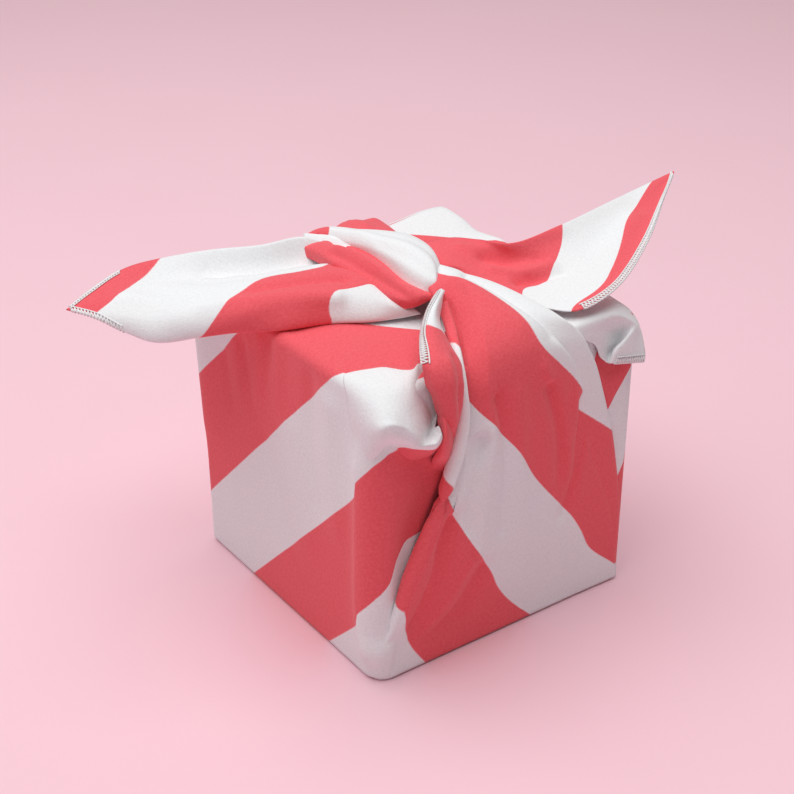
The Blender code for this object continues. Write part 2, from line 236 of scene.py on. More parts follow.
def press_folds(grid, normal, folds):
    """Folds pressed into a grid of points, along its normals.

    A fold adds height × exp(−(distance / width)^crest) from a smooth line through space.  It is
    (height at its start, at its end, width left of the line, width right of it, crest, line),
    seen from outside; a crest of 2 is soft and of 1 is sharp.  Up to 6 mm of the distance along
    the normal isn't counted, so a line need not lie quite on the cloth.
    """
    out = np.zeros(grid.shape[:2])
    for start, end, left, right, crest, line in folds:
        line = np.asarray(line, float)
        places = np.linspace(0, 1, 5 * len(line))
        if len(line) > 2:
            line = through(line, places)
        else:
            line = line[0] + (line[-1] - line[0]) * places[:, None]
        best = np.full(grid.shape[:2], 1e9)
        height, width = np.zeros(grid.shape[:2]), np.ones(grid.shape[:2])
        for k, (a, b) in enumerate(zip(line[:-1], line[1:])):
            d = b - a
            f = np.clip(((grid - a) @ d) / max(d @ d, 1e-9), 0, 1)
            offset = grid - a - f[..., None] * d
            away = (offset**2).sum(2) - np.minimum((offset * normal).sum(2) ** 2, 6**2)
            side = (np.cross(d, offset) * normal).sum(2)
            near = away < best
            best = np.where(near, away, best)
            height = np.where(near, start + (end - start) * (k + f) / (len(line) - 1), height)
            width = np.where(near, np.where(side < 0, left, right), width)
        out += height * np.exp(-((np.sqrt(np.maximum(best, 0)) / width) ** crest))
    return grid + normal * out[..., None]


def quads_between(number, beside):
    """Faces between a grid of point numbers and the same grid one column further on."""
    return np.stack([part.ravel() for part in (number[:-1], beside[:-1], beside[1:], number[1:])], 1)


def lay_ply(grid, flat, normal, ply=PLY):
    """Add a closed sheet: the grid outside, and the same grid a ply's thickness inside it."""
    n, m = grid.shape[:2]
    points = np.concatenate([grid.reshape(-1, 3), (grid - normal * ply).reshape(-1, 3)])
    number = np.arange(n * m).reshape(n, m)
    quads = quads_between(number[:, :-1], number[:, 1:])
    rim = np.concatenate([number[0, :-1], number[:-1, -1], number[-1, :0:-1], number[:0:-1, 0]])
    ahead = np.roll(rim, -1)
    sides = np.stack([rim, rim + n * m, ahead + n * m, ahead], 1)
    i, j = n // 2, m // 2
    facing = np.cross(grid[i, j + 1] - grid[i, j], grid[i + 1, j] - grid[i, j])
    if facing @ normal[i, j] < 0:
        quads, sides = quads[:, ::-1], sides[:, ::-1]
    faces = np.concatenate([quads, quads[:, ::-1] + n * m, sides])
    across = np.cumsum(np.linalg.norm(np.diff(grid, axis=1, prepend=grid[:, :1]), axis=2), axis=1)
    across -= across[:, m // 2, None]
    along = np.cumsum(np.linalg.norm(np.diff(grid, axis=0, prepend=grid[:1]), axis=2).mean(1))
    weave = np.stack([across, along[:, None] + 0 * across], 2)
    plies.append((points, *(np.tile(part.reshape(-1, 2), (2, 1)) for part in (flat, weave)), faces))


def lay_folded(grid, flat, folds=(), centre=(0, 0, 60)):
    """Press folds into a grid and add it as a ply; gives the pressed grid and its normals."""
    if folds:
        grid = press_folds(grid, outward_normals(grid, centre), folds)
    normal = outward_normals(grid, centre)
    lay_ply(grid, flat, normal)
    return grid, normal


def run_along(line):
    """The length run along a line of points, at each of them."""
    return np.concatenate([[0], np.cumsum(np.linalg.norm(np.diff(line, axis=0), axis=1))])


def flat_map(u, line):
    """A flat map with its U as given, and V by the length run along a line on the surface."""
    return np.stack([u, run_along(line)[:, None] + V_START + 0 * u], axis=2)


def fold_of_cloth(rows, along, across, curl=(4, 3), bulge=0, rolled=0):
    """A fold of cloth carried through sections, as a surface of place along (t) and across (s).

    A row is a left point, a right point, the crown, how far across the flat cloth the two edges
    are, and how deep they turn in.  Each section is straight from edge to edge, plus crown ×
    (1 − |2s − 1|^2.6) along the upward normal.  Within curl mm of an edge it also falls by that
    depth, on a quarter circle.  Where some columns are rolled, the left edge goes round and under
    on half a circle instead: right by r × (1 − sin), and in by r × (1 − cos).  A bulge moves the
    print's U by bulge × 4s(1 − s), so that the stripes bend as the middle of the cloth is pulled.
    """
    rows = through([(*left, *right, *rest) for left, right, *rest in rows], np.linspace(0, 1, along))
    left, right = rows[:, :3], rows[:, 3:6]
    crown, u_left, u_right, *turned_in = (rows[:, k, None] for k in range(6, 11))
    middle = (left + right) / 2
    up = np.cross(np.gradient(middle, axis=0), right - left)
    up /= np.linalg.norm(up, axis=1)[:, None]
    up *= np.sign((up * (middle - np.array([0, 0, 60]))).sum(1))[:, None]
    # The columns lie closer together towards both edges.
    share = (1 - np.cos(np.linspace(0, np.pi, across))) / 2 * 0.35 + np.linspace(0, 1, across) * 0.65
    width = np.linalg.norm(right - left, axis=1)[:, None]
    share = share + 0 * width
    radius = turned_in[0] / 2
    if rolled:
        start = radius / width
        round_it = np.linspace(0, 1, rolled, endpoint=False)
        share = np.concatenate([start * round_it, start + (1 - start) * share], 1)
    rise = crown * (1 - np.abs(2 * share - 1) ** 2.6)
    for side, away in enumerate((share * width, (1 - share) * width)):
        f = np.clip(1 - away / curl[side], 0, 1)
        depth = 0 if rolled and side == 0 else turned_in[side]
        rise = rise - depth * (1 - np.sqrt(1 - f**2 * 0.999))  # 0.999 keeps the end from a cliff
    place = share.copy()
    if rolled:
        angle = np.pi * (1 - round_it)
        place[:, :rolled] = start * (1 - np.sin(angle))
        rise[:, :rolled] -= radius * (1 - np.cos(angle))
    grid = left[:, None] + (right - left)[:, None] * place[..., None] + up[:, None] * rise[..., None]
    u = u_left + (u_right - u_left) * share + bulge * 4 * share * (1 - share)
    return grid, flat_map(u, middle)


def drape(sections, along, across):
    """Cloth laid through sections, as a surface of place along (t) and across (s).

    A section is a row of points, each (x, y, z, how far across the flat cloth).  Both ways the
    surface is the Catmull-Rom curve through them, so it bends softly at every point.
    """
    grid = through(sections, np.linspace(0, 1, along))
    grid = through(np.swapaxes(grid, 0, 1), np.linspace(0, 1, across))
    grid = np.swapaxes(grid, 0, 1)
    return grid[..., :3], flat_map(grid[..., 3], grid[:, across // 2, :3])


# ---- Cloth on the box: two opposite corners of the square, folded over the top -----------------
# The left and the right corner of the cloth come up over those sides and lie folded on the top,
# tucked under the knot.  Their slack goes round the upright edges, and at the front edge it makes
# a loose lip that droops over the corner and a deep channel down to the foot.

SIDE = 120.0
HALF = SIDE / 2
FOOT_ROUND = 2.5
TOP_ROUND = 3.0
EDGE_ROUND = 2.2
FRONT_EDGE_ROUND = 8.0  # the slack cloth goes wide round the front upright edge
FRONT_EDGE_REACH = 30.0  # it holds so far from that edge, and fades out over as much again


def turn_places():
    """Places along one turn of the box, in mm, from the middle of the front side leftwards.

    They are 1 mm apart round the front upright edge and up to 3.6 mm apart on the far sides.
    """
    spans = ((-60, -36, 2.4), (-36, 24, 0.9), (24, 120, 1.7), (120, 420, 3.6))
    return np.concatenate([np.linspace(a, b, round((b - a) / step), endpoint=False) for a, b, step in spans])


def round_square(place, inset):
    """Points of a square with round corners, at places along it and moved in by an inset.

    Place 0 is the front upright edge, 0 to 120 the left side (-X), -120 to 0 the front side (-Y).
    """
    half = HALF - inset
    wide = np.clip(2 - np.abs(place) / FRONT_EDGE_REACH, 0, 1)
    radius = np.minimum(EDGE_ROUND + (FRONT_EDGE_ROUND - EDGE_ROUND) * wide, half * 0.4)
    side = np.floor(place / SIDE).astype(int) % 4
    p = (place / SIDE - np.floor(place / SIDE)) * 2 * half - half
    angle = np.maximum(np.abs(p) - (half - radius), 0) / radius * np.pi / 4
    along = np.sign(p) * np.where(angle > 0, half - radius + radius * np.sin(angle), np.abs(p))
    depth = half - radius + radius * np.cos(angle)
    x = np.choose(side, [-depth, along, depth, -along])
    y = np.choose(side, [along, depth, -along, -depth])
    return np.stack([x, y], 1)


def body_profile():
    """(inset, height) from near the foot's middle, up the side and over the top to its middle.

    The steps are smaller where the folds are: 1 mm high on the side, and 1.5 mm round the top.
    """
    quarter = np.radians(np.linspace(0, 90, 5))
    foot = [(FOOT_ROUND * (1 - np.sin(a)), FOOT_ROUND * (1 - np.cos(a))) for a in quarter]
    head = [(TOP_ROUND * (1 - np.cos(a)), SIDE - TOP_ROUND * (1 - np.sin(a))) for a in quarter]
    under = [(inset, 0.0) for inset in (58, 45, 30, 15, 6)]
    side = [(0.0, z) for z in np.concatenate([np.arange(4.0, 74, 1.7), np.arange(74, 116.4, 1.0)])]
    top = [(inset, SIDE) for inset in np.concatenate([np.arange(4.2, 34, 1.5), np.arange(34, 59, 3.0)])]
    return np.array(under + foot + side + head + top).T


place = turn_places()
inset, height = body_profile()
turns = [np.column_stack([round_square(place, k), np.full(len(place), z)]) for k, z in zip(inset, height)]
turns = np.array(turns)
closed = np.concatenate([turns[:, -1:], turns, turns[:, :1]], axis=1)
body_normal = grid_normals(closed)[:, 1:-1]
body_normal *= np.sign((body_normal * (turns - np.array([0, 0, HALF]))).sum(2))[..., None]

BODY_FOLDS = (
    # A crease down the left side by the front edge, the slack round it, and the channel.
    (1.2, 1.8, 4, 7, 1.4,
     ((-60, -51, 90), (-60, -51.5, 76), (-60, -51, 54), (-60, -51, 30), (-60, -55, 13))),
    (2.6, 2.6, 10, 10, 2, ((-60, -60, 108), (-60, -60, 60), (-60, -60, 18))),
    (-1.7, -1.9, 6, 5, 2,
     ((-41, -60, 94), (-38, -60, 80), (-45, -60, 60), (-52, -60, 35), (-57, -60, 22))),
    # Soft upright waves high on the left side, where the top fold pulls it.
    (-1, -0.3, 2.4, 3.6, 1.8, ((-60, 6, 116), (-60, 8, 106), (-60, 11, 92))),
    (0.8, 0.2, 4.5, 4, 2, ((-60, 0, 117), (-60, 1, 104), (-60, 3, 88))),
    (0.7, 0.2, 3, 3.5, 2, ((-60, 13, 113), (-60, 15, 101), (-60, 19, 88))),
    (-0.9, -0.2, 2.8, 3.2, 1.8, ((-60, 26, 106), (-60, 23, 94), (-60, 20, 80))),
    (0.8, 0.2, 3.8, 3.5, 2, ((-60, 32, 112), (-60, 31, 96), (-60, 28, 80))),
    (-0.7, -0.2, 3.2, 2.8, 2, ((-60, 40, 96), (-60, 38, 86), (-60, 36, 74))),
    (1.6, 0.6, 7, 7, 2, ((-60, 54, 116), (-60, 55, 90), (-60, 56, 60))),
    # Broad, barely raised waves of the white stripe on the left side.
    (1.3, 0.6, 6, 6, 2, ((-60, -34, 106), (-60, -33, 84), (-60, -36, 56))),
    (-1, -0.5, 4, 4, 2, ((-60, -22, 112), (-60, -20, 88), (-60, -23, 60))),
    (1, 0.5, 7, 7, 2, ((-60, -6, 84), (-60, -10, 60), (-60, -14, 40))),
    (-0.8, -0.5, 5, 5, 2, ((-60, 12, 70), (-60, 4, 50), (-60, -4, 30))),
    (1.6, 1, 16, 16, 2, ((-46, -24, 120), (-40, 0, 120), (-36, 20, 120))),
    # The cloth stands a little off the left upright edge, high up.
    (1.9, 0.2, 14, 14, 2, ((-60, 60, 117), (-60, 60, 40))),
    # Slack waves on the right side, under the top edge, and the drag of the cloth near its foot.
    (-1.8, -0.6, 5, 6, 2, ((60, -22, 116), (60, -20, 100), (60, -14, 80))),
    (1.4, 0.4, 5, 5, 2, ((60, -8, 117), (60, -8, 100), (60, -2, 78))),
    (-1.9, -0.6, 5, 6, 2, ((60, 6, 117), (60, 9, 98), (60, 16, 70))),
    (1.4, 0.4, 5, 5, 2, ((60, 20, 117), (60, 22, 100), (60, 28, 84))),
    (-1.6, -0.4, 5, 6, 2, ((60, 35, 116), (60, 34, 102), (60, 38, 86))),
    (1.8, 0.8, 6, 6, 2, ((60, -34, 44), (60, 0, 28), (60, 34, 22))),
    (-1.8, -0.8, 6, 7, 2, ((60, 8, 62), (60, 26, 36), (60, 44, 12))),
    # The hollow behind the opening of the corner loop.
    (-2.4, -2.4, 9, 9, 4, ((50, -60, 115), (48, -60, 106))),
)
shaped = press_folds(turns, body_normal, BODY_FOLDS)

# Slack stands up at the back corner, most at (50, 60), and fades out over some 20 mm round it.
BACK_SLACK = 3.2
back_corner = np.exp(-(((shaped[..., 0] - 50) / 20) ** 2) - ((shaped[..., 1] - 60) / 22) ** 2)
shaped[..., 2] += BACK_SLACK * back_corner * np.clip((shaped[..., 2] - 100) / 18, 0, 1)

# Under the front arm, between the x of its two edges at each height, the cloth is pressed flat and
# a little further in.  Nowhere on the front side does a fold go in deeper than the given y.
ARM_PRESS = 1.2
FRONT_DEEPEST = -58.0
x, y, z = np.moveaxis(turns, 2, 0)
arm_left = np.interp(z, (0, 24, 45, 57, 70, 82, 105, 118), (-54, -53, -46, -42, -36, -31, -27, -24))
arm_right = np.interp(z, (0, 30, 60, 90, 112), (52, 50, 44, 36, 30))
pressed = np.clip((x - arm_left) / 3, 0, 1) * np.clip((arm_right - x) / 4, 0, 1)
pressed *= (y < -57) & (z < 116)
shaped[..., 1] += ARM_PRESS * pressed
kept_out = np.minimum(shaped[..., 1], np.maximum(y, FRONT_DEEPEST))
shaped[..., 1] = np.where(y < -50, kept_out, shaped[..., 1])

# The flat map.  The left corner's cloth covers x < 0 and the right corner's covers x > 0.  On the
# sides it runs up from the foot and round the box; on the top it runs on towards the other side.
# Reach is the distance from the cloth's middle towards that corner, and own is square to it.
p = place + 0 * x
inward = inset[:, None] + 0 * x
is_left = p < 1.5 * SIDE
on_top = (inward >= TOP_ROUND) & (z > HALF)
over_rim = on_top | ((y > HALF - TOP_ROUND) & (z > SIDE - TOP_ROUND))
reach = HALF + (z + np.where(z < HALF, -inward, inward))
reach = np.where(over_rim, 4 * HALF - np.abs(x), reach)
own = np.where(over_rim, y, np.where(is_left, p - HALF, 2.5 * SIDE - p))
side_sign = np.where(is_left, -1.0, 1.0)
across = (side_sign * reach - own) / np.sqrt(2)
upward = (side_sign * reach + own) / np.sqrt(2)
body_weave = np.stack([across, upward], axis=2)

# The slack cloth lies at other angles.  Round the front corner these are the heights of the upper
# and the lower edge of one red stripe, at places along the turn of the box.
UPPER_PLACES = (-33, -28.5, -27, -25.5, -22, -18, -13, -5, 0, 8, 12)
UPPER_HEIGHTS = (128, 112, 104, 98, 96, 97, 99, 99, 95, 85, 80)
PAST_RED = 0.75  # U for each mm of height above and below that stripe
red_upper, red_lower = FIRST_STRIPE - 2 * STRIPE, FIRST_STRIPE - STRIPE
upper = np.interp(p, UPPER_PLACES, UPPER_HEIGHTS)
lower = np.interp(p, (-40, -26, -20, -14, -9, -6, 0, 8, 12), (60, 60, 60, 58, 52, 45, 39, 29, 24))
slack = red_lower - STRIPE * (z - lower) / (upper - lower)
slack = np.where(z < lower, red_lower + (lower - z) * PAST_RED, slack)
slack = np.where(z > upper, red_upper - (z - upper) * PAST_RED, slack)
across = np.where((p > -60) & (p < 8.7) & ~on_top, slack, across)

# The right corner's cloth beside the front arm: the heights of three stripe edges, at each x.  And
# on the right side the print is drawn back with the far slack, and pulled on high at the front.
right_edge = FIRST_STRIPE + 3 * STRIPE
high = np.interp(x, (40, 48, 53, 58, 60), (66, 83, 90, 97, 100))
middle = np.interp(x, (40, 50, 56, 60), (28, 40, 51, 60))
low = middle - np.interp(x, (40, 60), (40, 54))
above = right_edge + STRIPE * (z - middle) / (high - middle)
below = right_edge - STRIPE * (middle - z) / (middle - low)
far_shift = -22 * np.clip((y + 54) / 70, 0, 1)
pull = 12 * np.exp(-(((y + HALF) / 18) ** 2)) * np.clip((z - 60) / 40, 0, 1)
across = across + np.where(is_left, 0, far_shift + np.where(x > 50, pull, 0))
near_right = (y < -57) & (x > 30) & ~on_top
across = np.where(near_right, np.where(z > middle, above, below), across)
body_flat = np.stack([across, upward], axis=2)


def lay_body(grid, flat, weave, normal):
    """Add the closed skin round the box, and one of every third row and column a ply inside it."""
    for step, inner in ((1, 0.0), (3, PLY)):
        rows = np.unique(np.append(np.arange(0, grid.shape[0], step), grid.shape[0] - 1))
        columns = np.arange(0, grid.shape[1], step)
        skin = (grid - normal * inner)[rows][:, columns]
        n, m = skin.shape[:2]
        number = np.arange(n * m).reshape(n, m)
        beside = np.roll(number, -1, axis=1)
        poles = np.array([[0, 0, skin[0, 0, 2]], [0, 0, skin[-1, 0, 2]]])
        foot = np.stack([number[0], np.full(m, n * m), beside[0], beside[0]], 1)
        head = np.stack([number[-1], beside[-1], np.full(m, n * m + 1), np.full(m, n * m + 1)], 1)
        points = np.concatenate([skin.reshape(-1, 3), poles])
        maps = [part[rows][:, columns].reshape(-1, 2) for part in (flat, weave)]
        maps = [np.concatenate([part, np.zeros((2, 2))]) for part in maps]
        faces = np.concatenate([quads_between(number, beside), foot, head])
        plies.append((points, *maps, faces if inner else faces[:, ::-1]))


lay_body(shaped, body_flat, body_weave, body_normal)

LIP = (
    # the loose lip over the front corner, from the left side round to the hook: each row runs from
    # the top, over the lit slope and the drooping edge, and back under it
    ((-52.5, -34.5, 119.8, -105.5), (-56, -37.5, 120.3, -102.2), (-58.6, -40, 120.1, -99.5),
     (-60.2, -42.8, 118.4, -96), (-61, -46, 115, -92), (-61.1, -46.5, 111, -88.5),
     (-60.8, -47, 106, -85), (-60.2, -47, 101, -81), (-58.6, -47, 95, -77)),
    ((-48, -38.5, 120.2, -105), (-51.3, -42, 121.2, -100), (-56.5, -48.5, 121.6, -93),
     (-60, -53, 119.2, -87), (-62, -56, 115, -82), (-62.8, -57.5, 110.5, -77),
     (-62.6, -57.8, 105.5, -73), (-61.6, -57.5, 99, -68), (-59, -56, 92, -63)),
    ((-42.5, -40.5, 120.4, -105), (-47, -46, 121.8, -98.5), (-53.5, -54.5, 121.8, -92),
     (-57.8, -60, 119.5, -86), (-60.9, -64.3, 116.3, -81), (-62.6, -66.6, 113.2, -77),
     (-62, -65.2, 108, -73), (-60.2, -62, 102, -68), (-58, -58.3, 95, -62.5)),
    ((-40, -43.5, 120.4, -105), (-44.5, -49.5, 122, -98.5), (-50.8, -58, 121.4, -92),
     (-55.3, -64, 118.6, -86), (-58, -67.6, 116.2, -82), (-59.4, -69.4, 114.6, -79),
     (-59, -68.2, 109.5, -74), (-56, -62, 103, -68), (-54, -58.4, 96, -61)),
    ((-38, -46.5, 120.6, -105), (-42, -52, 121.8, -98.5), (-46.8, -58.8, 121, -92),
     (-51.5, -65.2, 117.2, -86), (-54, -69, 114.2, -82), (-54.8, -70.2, 112.2, -79),
     (-54.4, -69, 107.2, -72), (-51.8, -62.5, 101.5, -64), (-50, -58.4, 94, -56)),
    ((-35.5, -48.5, 121, -105), (-38.5, -53, 121.6, -99), (-42.5, -59, 119.6, -93),
     (-47.6, -65.2, 114.6, -87), (-49.4, -69, 111, -83), (-50, -71, 107.8, -78),
     (-49.4, -69.8, 103.2, -70), (-47.6, -64.6, 99.4, -60), (-45, -58.4, 91, -52)),
    ((-31.5, -45.5, 122.3, -105.5), (-34.3, -50.5, 121.8, -100.5), (-37, -57, 116.9, -95),
     (-37.6, -60, 111.5, -91), (-39, -62.5, 105.5, -87), (-42, -65.5, 102.4, -83),
     (-44.8, -70.5, 103.2, -76), (-42.2, -67.5, 98.8, -62), (-38, -58.4, 89.5, -52)),
    ((-30.5, -46, 122.5, -105.5), (-33, -51.5, 120.8, -100.5), (-34, -57, 114, -95),
     (-34.6, -59, 108.8, -91), (-36.4, -61, 104, -88), (-40.2, -65, 102.8, -84),
     (-41.8, -71, 103.2, -76), (-39.2, -68, 99, -62), (-34, -58.4, 89, -52)),
    ((-31, -50, 121, -105.5), (-33, -54.5, 118.1, -100), (-33.5, -57.5, 113.3, -95),
     (-33.7, -59, 108.1, -91), (-35.6, -61, 104.5, -88), (-39.4, -65.5, 104.4, -84),
     (-40.1, -71, 106, -76), (-37.5, -68.5, 102, -62), (-31.5, -60, 91.5, -52)),
    ((-30.5, -51, 120, -105.5), (-32.5, -55, 117.3, -100), (-33, -58, 112.6, -95),
     (-32.8, -59, 108.3, -91), (-34.7, -61, 105.9, -88), (-38.4, -65, 105.4, -84),
     (-40.2, -69.4, 108.4, -78), (-37.9, -68, 105.8, -64), (-31.5, -61, 96, -54)),
)
lay_folded(*drape(LIP, 110, 90))

LIP_NOSE = (
    # the same fold beyond the hook, where its red side comes round and falls into the channel
    ((-34.2, -61, 106.6, -45), (-35.6, -65, 110, -45), (-33.5, -65, 109, -45), (-27, -60, 102.8, -45)),
    ((-35.5, -63, 104.6, -45), (-36.6, -67.5, 108.6, -45),
     (-34.4, -68, 106.7, -45), (-25.9, -61, 97.3, -45)),
    ((-36, -64.5, 101, -45), (-37.2, -69.5, 105.6, -45),
     (-34, -68.5, 102.8, -45), (-25.4, -60.5, 93.7, -45)),
    ((-37, -65.5, 97, -45), (-38, -70, 101, -45), (-34, -68.2, 98, -45), (-26.2, -60.5, 89.4, -45)),
    ((-36.5, -62, 91, -45), (-37.2, -67.5, 94.8, -45),
     (-34, -66.6, 92.8, -45), (-27.1, -60, 85.4, -45)),
    ((-35.1, -59, 86.5, -45), (-34.9, -62, 88.4, -45),
     (-32.5, -62.5, 87.3, -45), (-27.9, -59.5, 81.7, -45)),
    ((-34.9, -58, 83, -45), (-32.8, -58.6, 82.5, -45),
     (-31, -59, 81.5, -45), (-28.4, -58.5, 79.3, -45)),
)
lay_folded(*drape(LIP_NOSE, 50, 30))


# ---- Front arm: the cloth's front corner, brought up over the right-front side to the knot ------
# The near corner of the square lies flat up the front side and narrows into gathers at the knot.
# Its left edge is a rounded fold, with a narrow fold of its own laid over the arm beside it, and its
# right edge is a flat pleat.

FRONT_ARM = (
    # left x, y, z,   right x, y, z,  crown, across the flat cloth left and right, turned in left and right
    ((-57, -58, 1), (58, -60.6, 1), 0, 1, 89, 0.4, 0),
    ((-58, -59.6, 12), (57.7, -60.9, 11), 0, 4.5, 97.5, 1.2, 1.2),
    ((-54.6, -62.4, 24), (56.6, -61, 22), 0, 10, 106, 3, 1.2),
    ((-51.6, -64.4, 35), (53.5, -61.4, 33), 0, 15.5, 108, 4.4, 1.2),
    ((-49, -65.8, 45), (49.5, -61.7, 44), 0.2, 24, 110.5, 5.2, 1.2),
    ((-44.2, -66.6, 57), (45, -62, 54), 0.4, 34.5, 114.5, 6, 1.2),
    ((-38.4, -67.4, 70), (39.5, -62.4, 66), 0.4, 46, 120, 6.4, 1.2),
    ((-33, -67.8, 82), (36.5, -62.8, 78), 0.4, 55, 128, 6.8, 1.2),
    ((-29.6, -67.6, 93), (34, -63.2, 91), 0.6, 70, 133, 6.8, 1.2),
    ((-27, -66.6, 105), (30, -63.6, 103), 0.8, 85, 135.5, 6.4, 1.2),
    ((-26.6, -64.4, 115), (25, -63.8, 112), 1.4, 92, 138, 5, 1.2),
    ((-24.5, -58, 123), (20, -62.6, 119.5), 2.8, 99, 140, 4, 1.2),
    ((-20, -48.5, 127), (18, -58, 126), 3.4, 106, 139, 3, 1.2),
    ((-15, -38, 129.5), (16, -49, 129.5), 3.4, 112, 138, 2, 1.2),
    ((-11, -29, 131.5), (14, -34, 132), 3.2, 119, 137, 2, 1.2),
    ((-8, -21, 132), (11, -19, 133), 2.6, 124, 137, 2, 1.2),
    ((-5, -12, 132), (8, -6, 132.5), 1.5, 128, 137, 1, 1),
)
TUCK = (
    # the line beside the narrow fold, from the knot down
    (-9, -33, 134), (-14, -45, 131), (-18.5, -54, 127), (-22, -62, 122), (-23.5, -66, 115.5),
    (-23.5, -66, 107), (-24, -66.5, 94), (-28.5, -66.5, 85), (-32.5, -66, 75),
)
FRONT_ARM_FOLDS = (
    # The sharp left ridge and the valley beside it, where the arm is pulled into the channel.
    (0.9, 0.7, 1.6, 1.8, 1.4, ((-33.5, -66, 71), (-39.5, -65, 58), (-46.5, -64, 41), (-50, -62.6, 26))),
    (-4.2, -2.3, 3, 6, 1.8, ((-31, -65, 64), (-34.5, -64, 54), (-37, -63.5, 40), (-44, -62, 22))),
    # Tension folds that fan out downwards from the knot.
    (1.4, 0.7, 2, 3.4, 1.3, ((-20.5, -63, 43), (-29, -62.5, 28.5), (-38.5, -61.5, 17), (-45, -61, 11))),
    (-1.9, -1.3, 4, 5, 2, ((-14, -63, 36), (-24, -62, 20), (-34, -61, 9))),
    (1.2, 0.6, 2.6, 4, 1.6, ((-14, -65, 98), (-15, -65, 79), (-16, -64, 58), (-17, -63, 44))),
    (-2.6, -1.3, 2.5, 3, 2, ((-19, -65, 92), (-21.5, -64.5, 74), (-22, -64, 57))),
    (-2.6, -1.3, 2.4, 3.5, 1.6, ((-11, -66, 108), (-9, -66, 96), (-7, -65, 84), (-6, -63, 50))),
    (0.9, 0.3, 4, 4, 2, ((-2, -66, 106), (0, -65, 80), (5, -62, 48), (11, -61, 28))),
    (1.3, 0.4, 2.4, 3, 1.6, ((10, -66, 114), (18, -65, 98), (24, -64, 78), (28, -62, 60))),
    (-2.6, -1.3, 3, 3, 2, ((14, -66, 104), (20, -65, 84), (22, -63, 62))),
    (1, 0.3, 2.4, 3.5, 1.8, ((27, -65, 96), (32, -63, 74), (32, -62, 50))),
    (-2.6, -1.3, 3, 2.5, 1.8, ((32, -64, 92), (31, -63, 64), (25, -62, 44))),
    # On the shoulder: a soft hollow between the crest of the arm and its right edge.
    (-3.8, -1.7, 2.5, 3.5, 1.6, ((8, -24, 134), (11, -38, 134), (14, -52, 131), (17, -62, 124))),
    (0.9, 0.4, 3, 3, 2, ((1, -26, 136), (2, -44, 134), (5, -58, 129))),
)
ARM_ROWS = 150
ARM_ROLLED = 22  # columns round the rolled left edge
ARM_BULGE = 3.2  # of the print, from nothing at the foot to this at a fifth of the way up
swell = ARM_BULGE * np.clip(np.linspace(0, 5.3, ARM_ROWS), 0, 1)[:, None]
grid, flat = fold_of_cloth(FRONT_ARM, ARM_ROWS, 116, curl=(5, 3), bulge=swell, rolled=ARM_ROLLED)
normal = outward_normals(grid)


def left_of(line, grid, normal, over=1.2):
    """1 on the left of a line on the cloth, 0 on its right, and a soft step of some mm between."""
    line = through(line, np.linspace(0, 1, 6 * len(line)))
    offset = grid[:, :, None] - line
    nearest = (offset**2).sum(3).argmin(2)
    ahead = np.gradient(line, axis=0)[nearest]
    ahead /= np.linalg.norm(ahead, axis=2)[..., None]
    offset = np.take_along_axis(offset, nearest[..., None, None], axis=2)[:, :, 0]
    side = (np.cross(ahead, offset) * normal).sum(2)
    return np.clip(0.5 - side / over, 0, 1)


# Left of the tuck the cloth is a narrow fold of its own that lies over the arm, so the print there
# is further across, its edge turns in, and the arm is pressed down under it.
FURTHER_ACROSS = 12
strip = left_of(TUCK, grid, normal)
flat[..., 0] -= FURTHER_ACROSS * strip * np.clip((grid[..., 2] - 72) / 50, 0, 1)
grid = press_folds(grid, normal, FRONT_ARM_FOLDS)

# Below the shoulder no part of the arm goes in past the box's rounded edge and face.
ARM_DEEPEST = -60.1
resting = (grid[..., 2] < 116) & (grid[..., 1] < -50)
past_edge = np.clip(-grid[..., 0] - (HALF - FRONT_EDGE_ROUND), 0, FRONT_EDGE_ROUND - 0.5)
behind = ARM_DEEPEST + FRONT_EDGE_ROUND - np.sqrt(FRONT_EDGE_ROUND**2 - past_edge**2)
grid[..., 1] = np.where(resting, np.minimum(grid[..., 1], behind), grid[..., 1])
normal = outward_normals(grid)

# The narrow fold is the arm's own surface from its left edge to the tuck, smoothed over nine rows.
# Its edge turns in on a quarter circle, and its two ends sink into the arm over five rows.
FOLD_ROWS = slice(58, 132)
FOLD_COLUMNS = 30
EDGE_TURN = 1.3
END_SINK = 3.8
smooth = np.convolve(strip.sum(1), np.ones(9) / 9, "same")[FOLD_ROWS, None]
columns = smooth * np.linspace(0, 1, FOLD_COLUMNS)
first = columns.astype(int)[..., None]
part = columns[..., None] - first
fold, fold_flat, fold_normal = (
    np.take_along_axis(v, first, 1) * (1 - part) + np.take_along_axis(v, first + 1, 1) * part
    for v in (grid[FOLD_ROWS], flat[FOLD_ROWS], normal[FOLD_ROWS])
)
row = np.arange(len(fold))
ends = np.clip(1 - np.minimum(row, row[::-1]) / 5, 0, 1)
fold_width = np.linalg.norm(np.diff(fold, axis=1), axis=2).sum(1)[:, None]
turn = np.clip(1 - fold_width * np.linspace(1, 0, FOLD_COLUMNS) / EDGE_TURN, 0, 1)
sunk = EDGE_TURN * (1 - np.sqrt(1 - 0.999 * turn**2)) + END_SINK * ends[:, None] ** 2
lay_folded(fold - fold_normal * sunk[..., None], fold_flat)

# The arm itself is pressed down left of the tuck, from above the foot to below the knot, and less
# so on its rolled edge.
PRESSED = 4.4
under = np.clip(2 * left_of(TUCK, grid, normal, 16), 0, 1) * np.clip((grid[..., 2] - 66) / 10, 0, 1)
rolled_edge = np.interp(np.arange(grid.shape[1]), (0, ARM_ROLLED, ARM_ROLLED + 4), (0.25, 0.8, 1.0))
under *= np.clip((-24 - grid[..., 1]) / 8, 0, 1) * rolled_edge
lay_folded(grid - normal * PRESSED * under[..., None], flat)

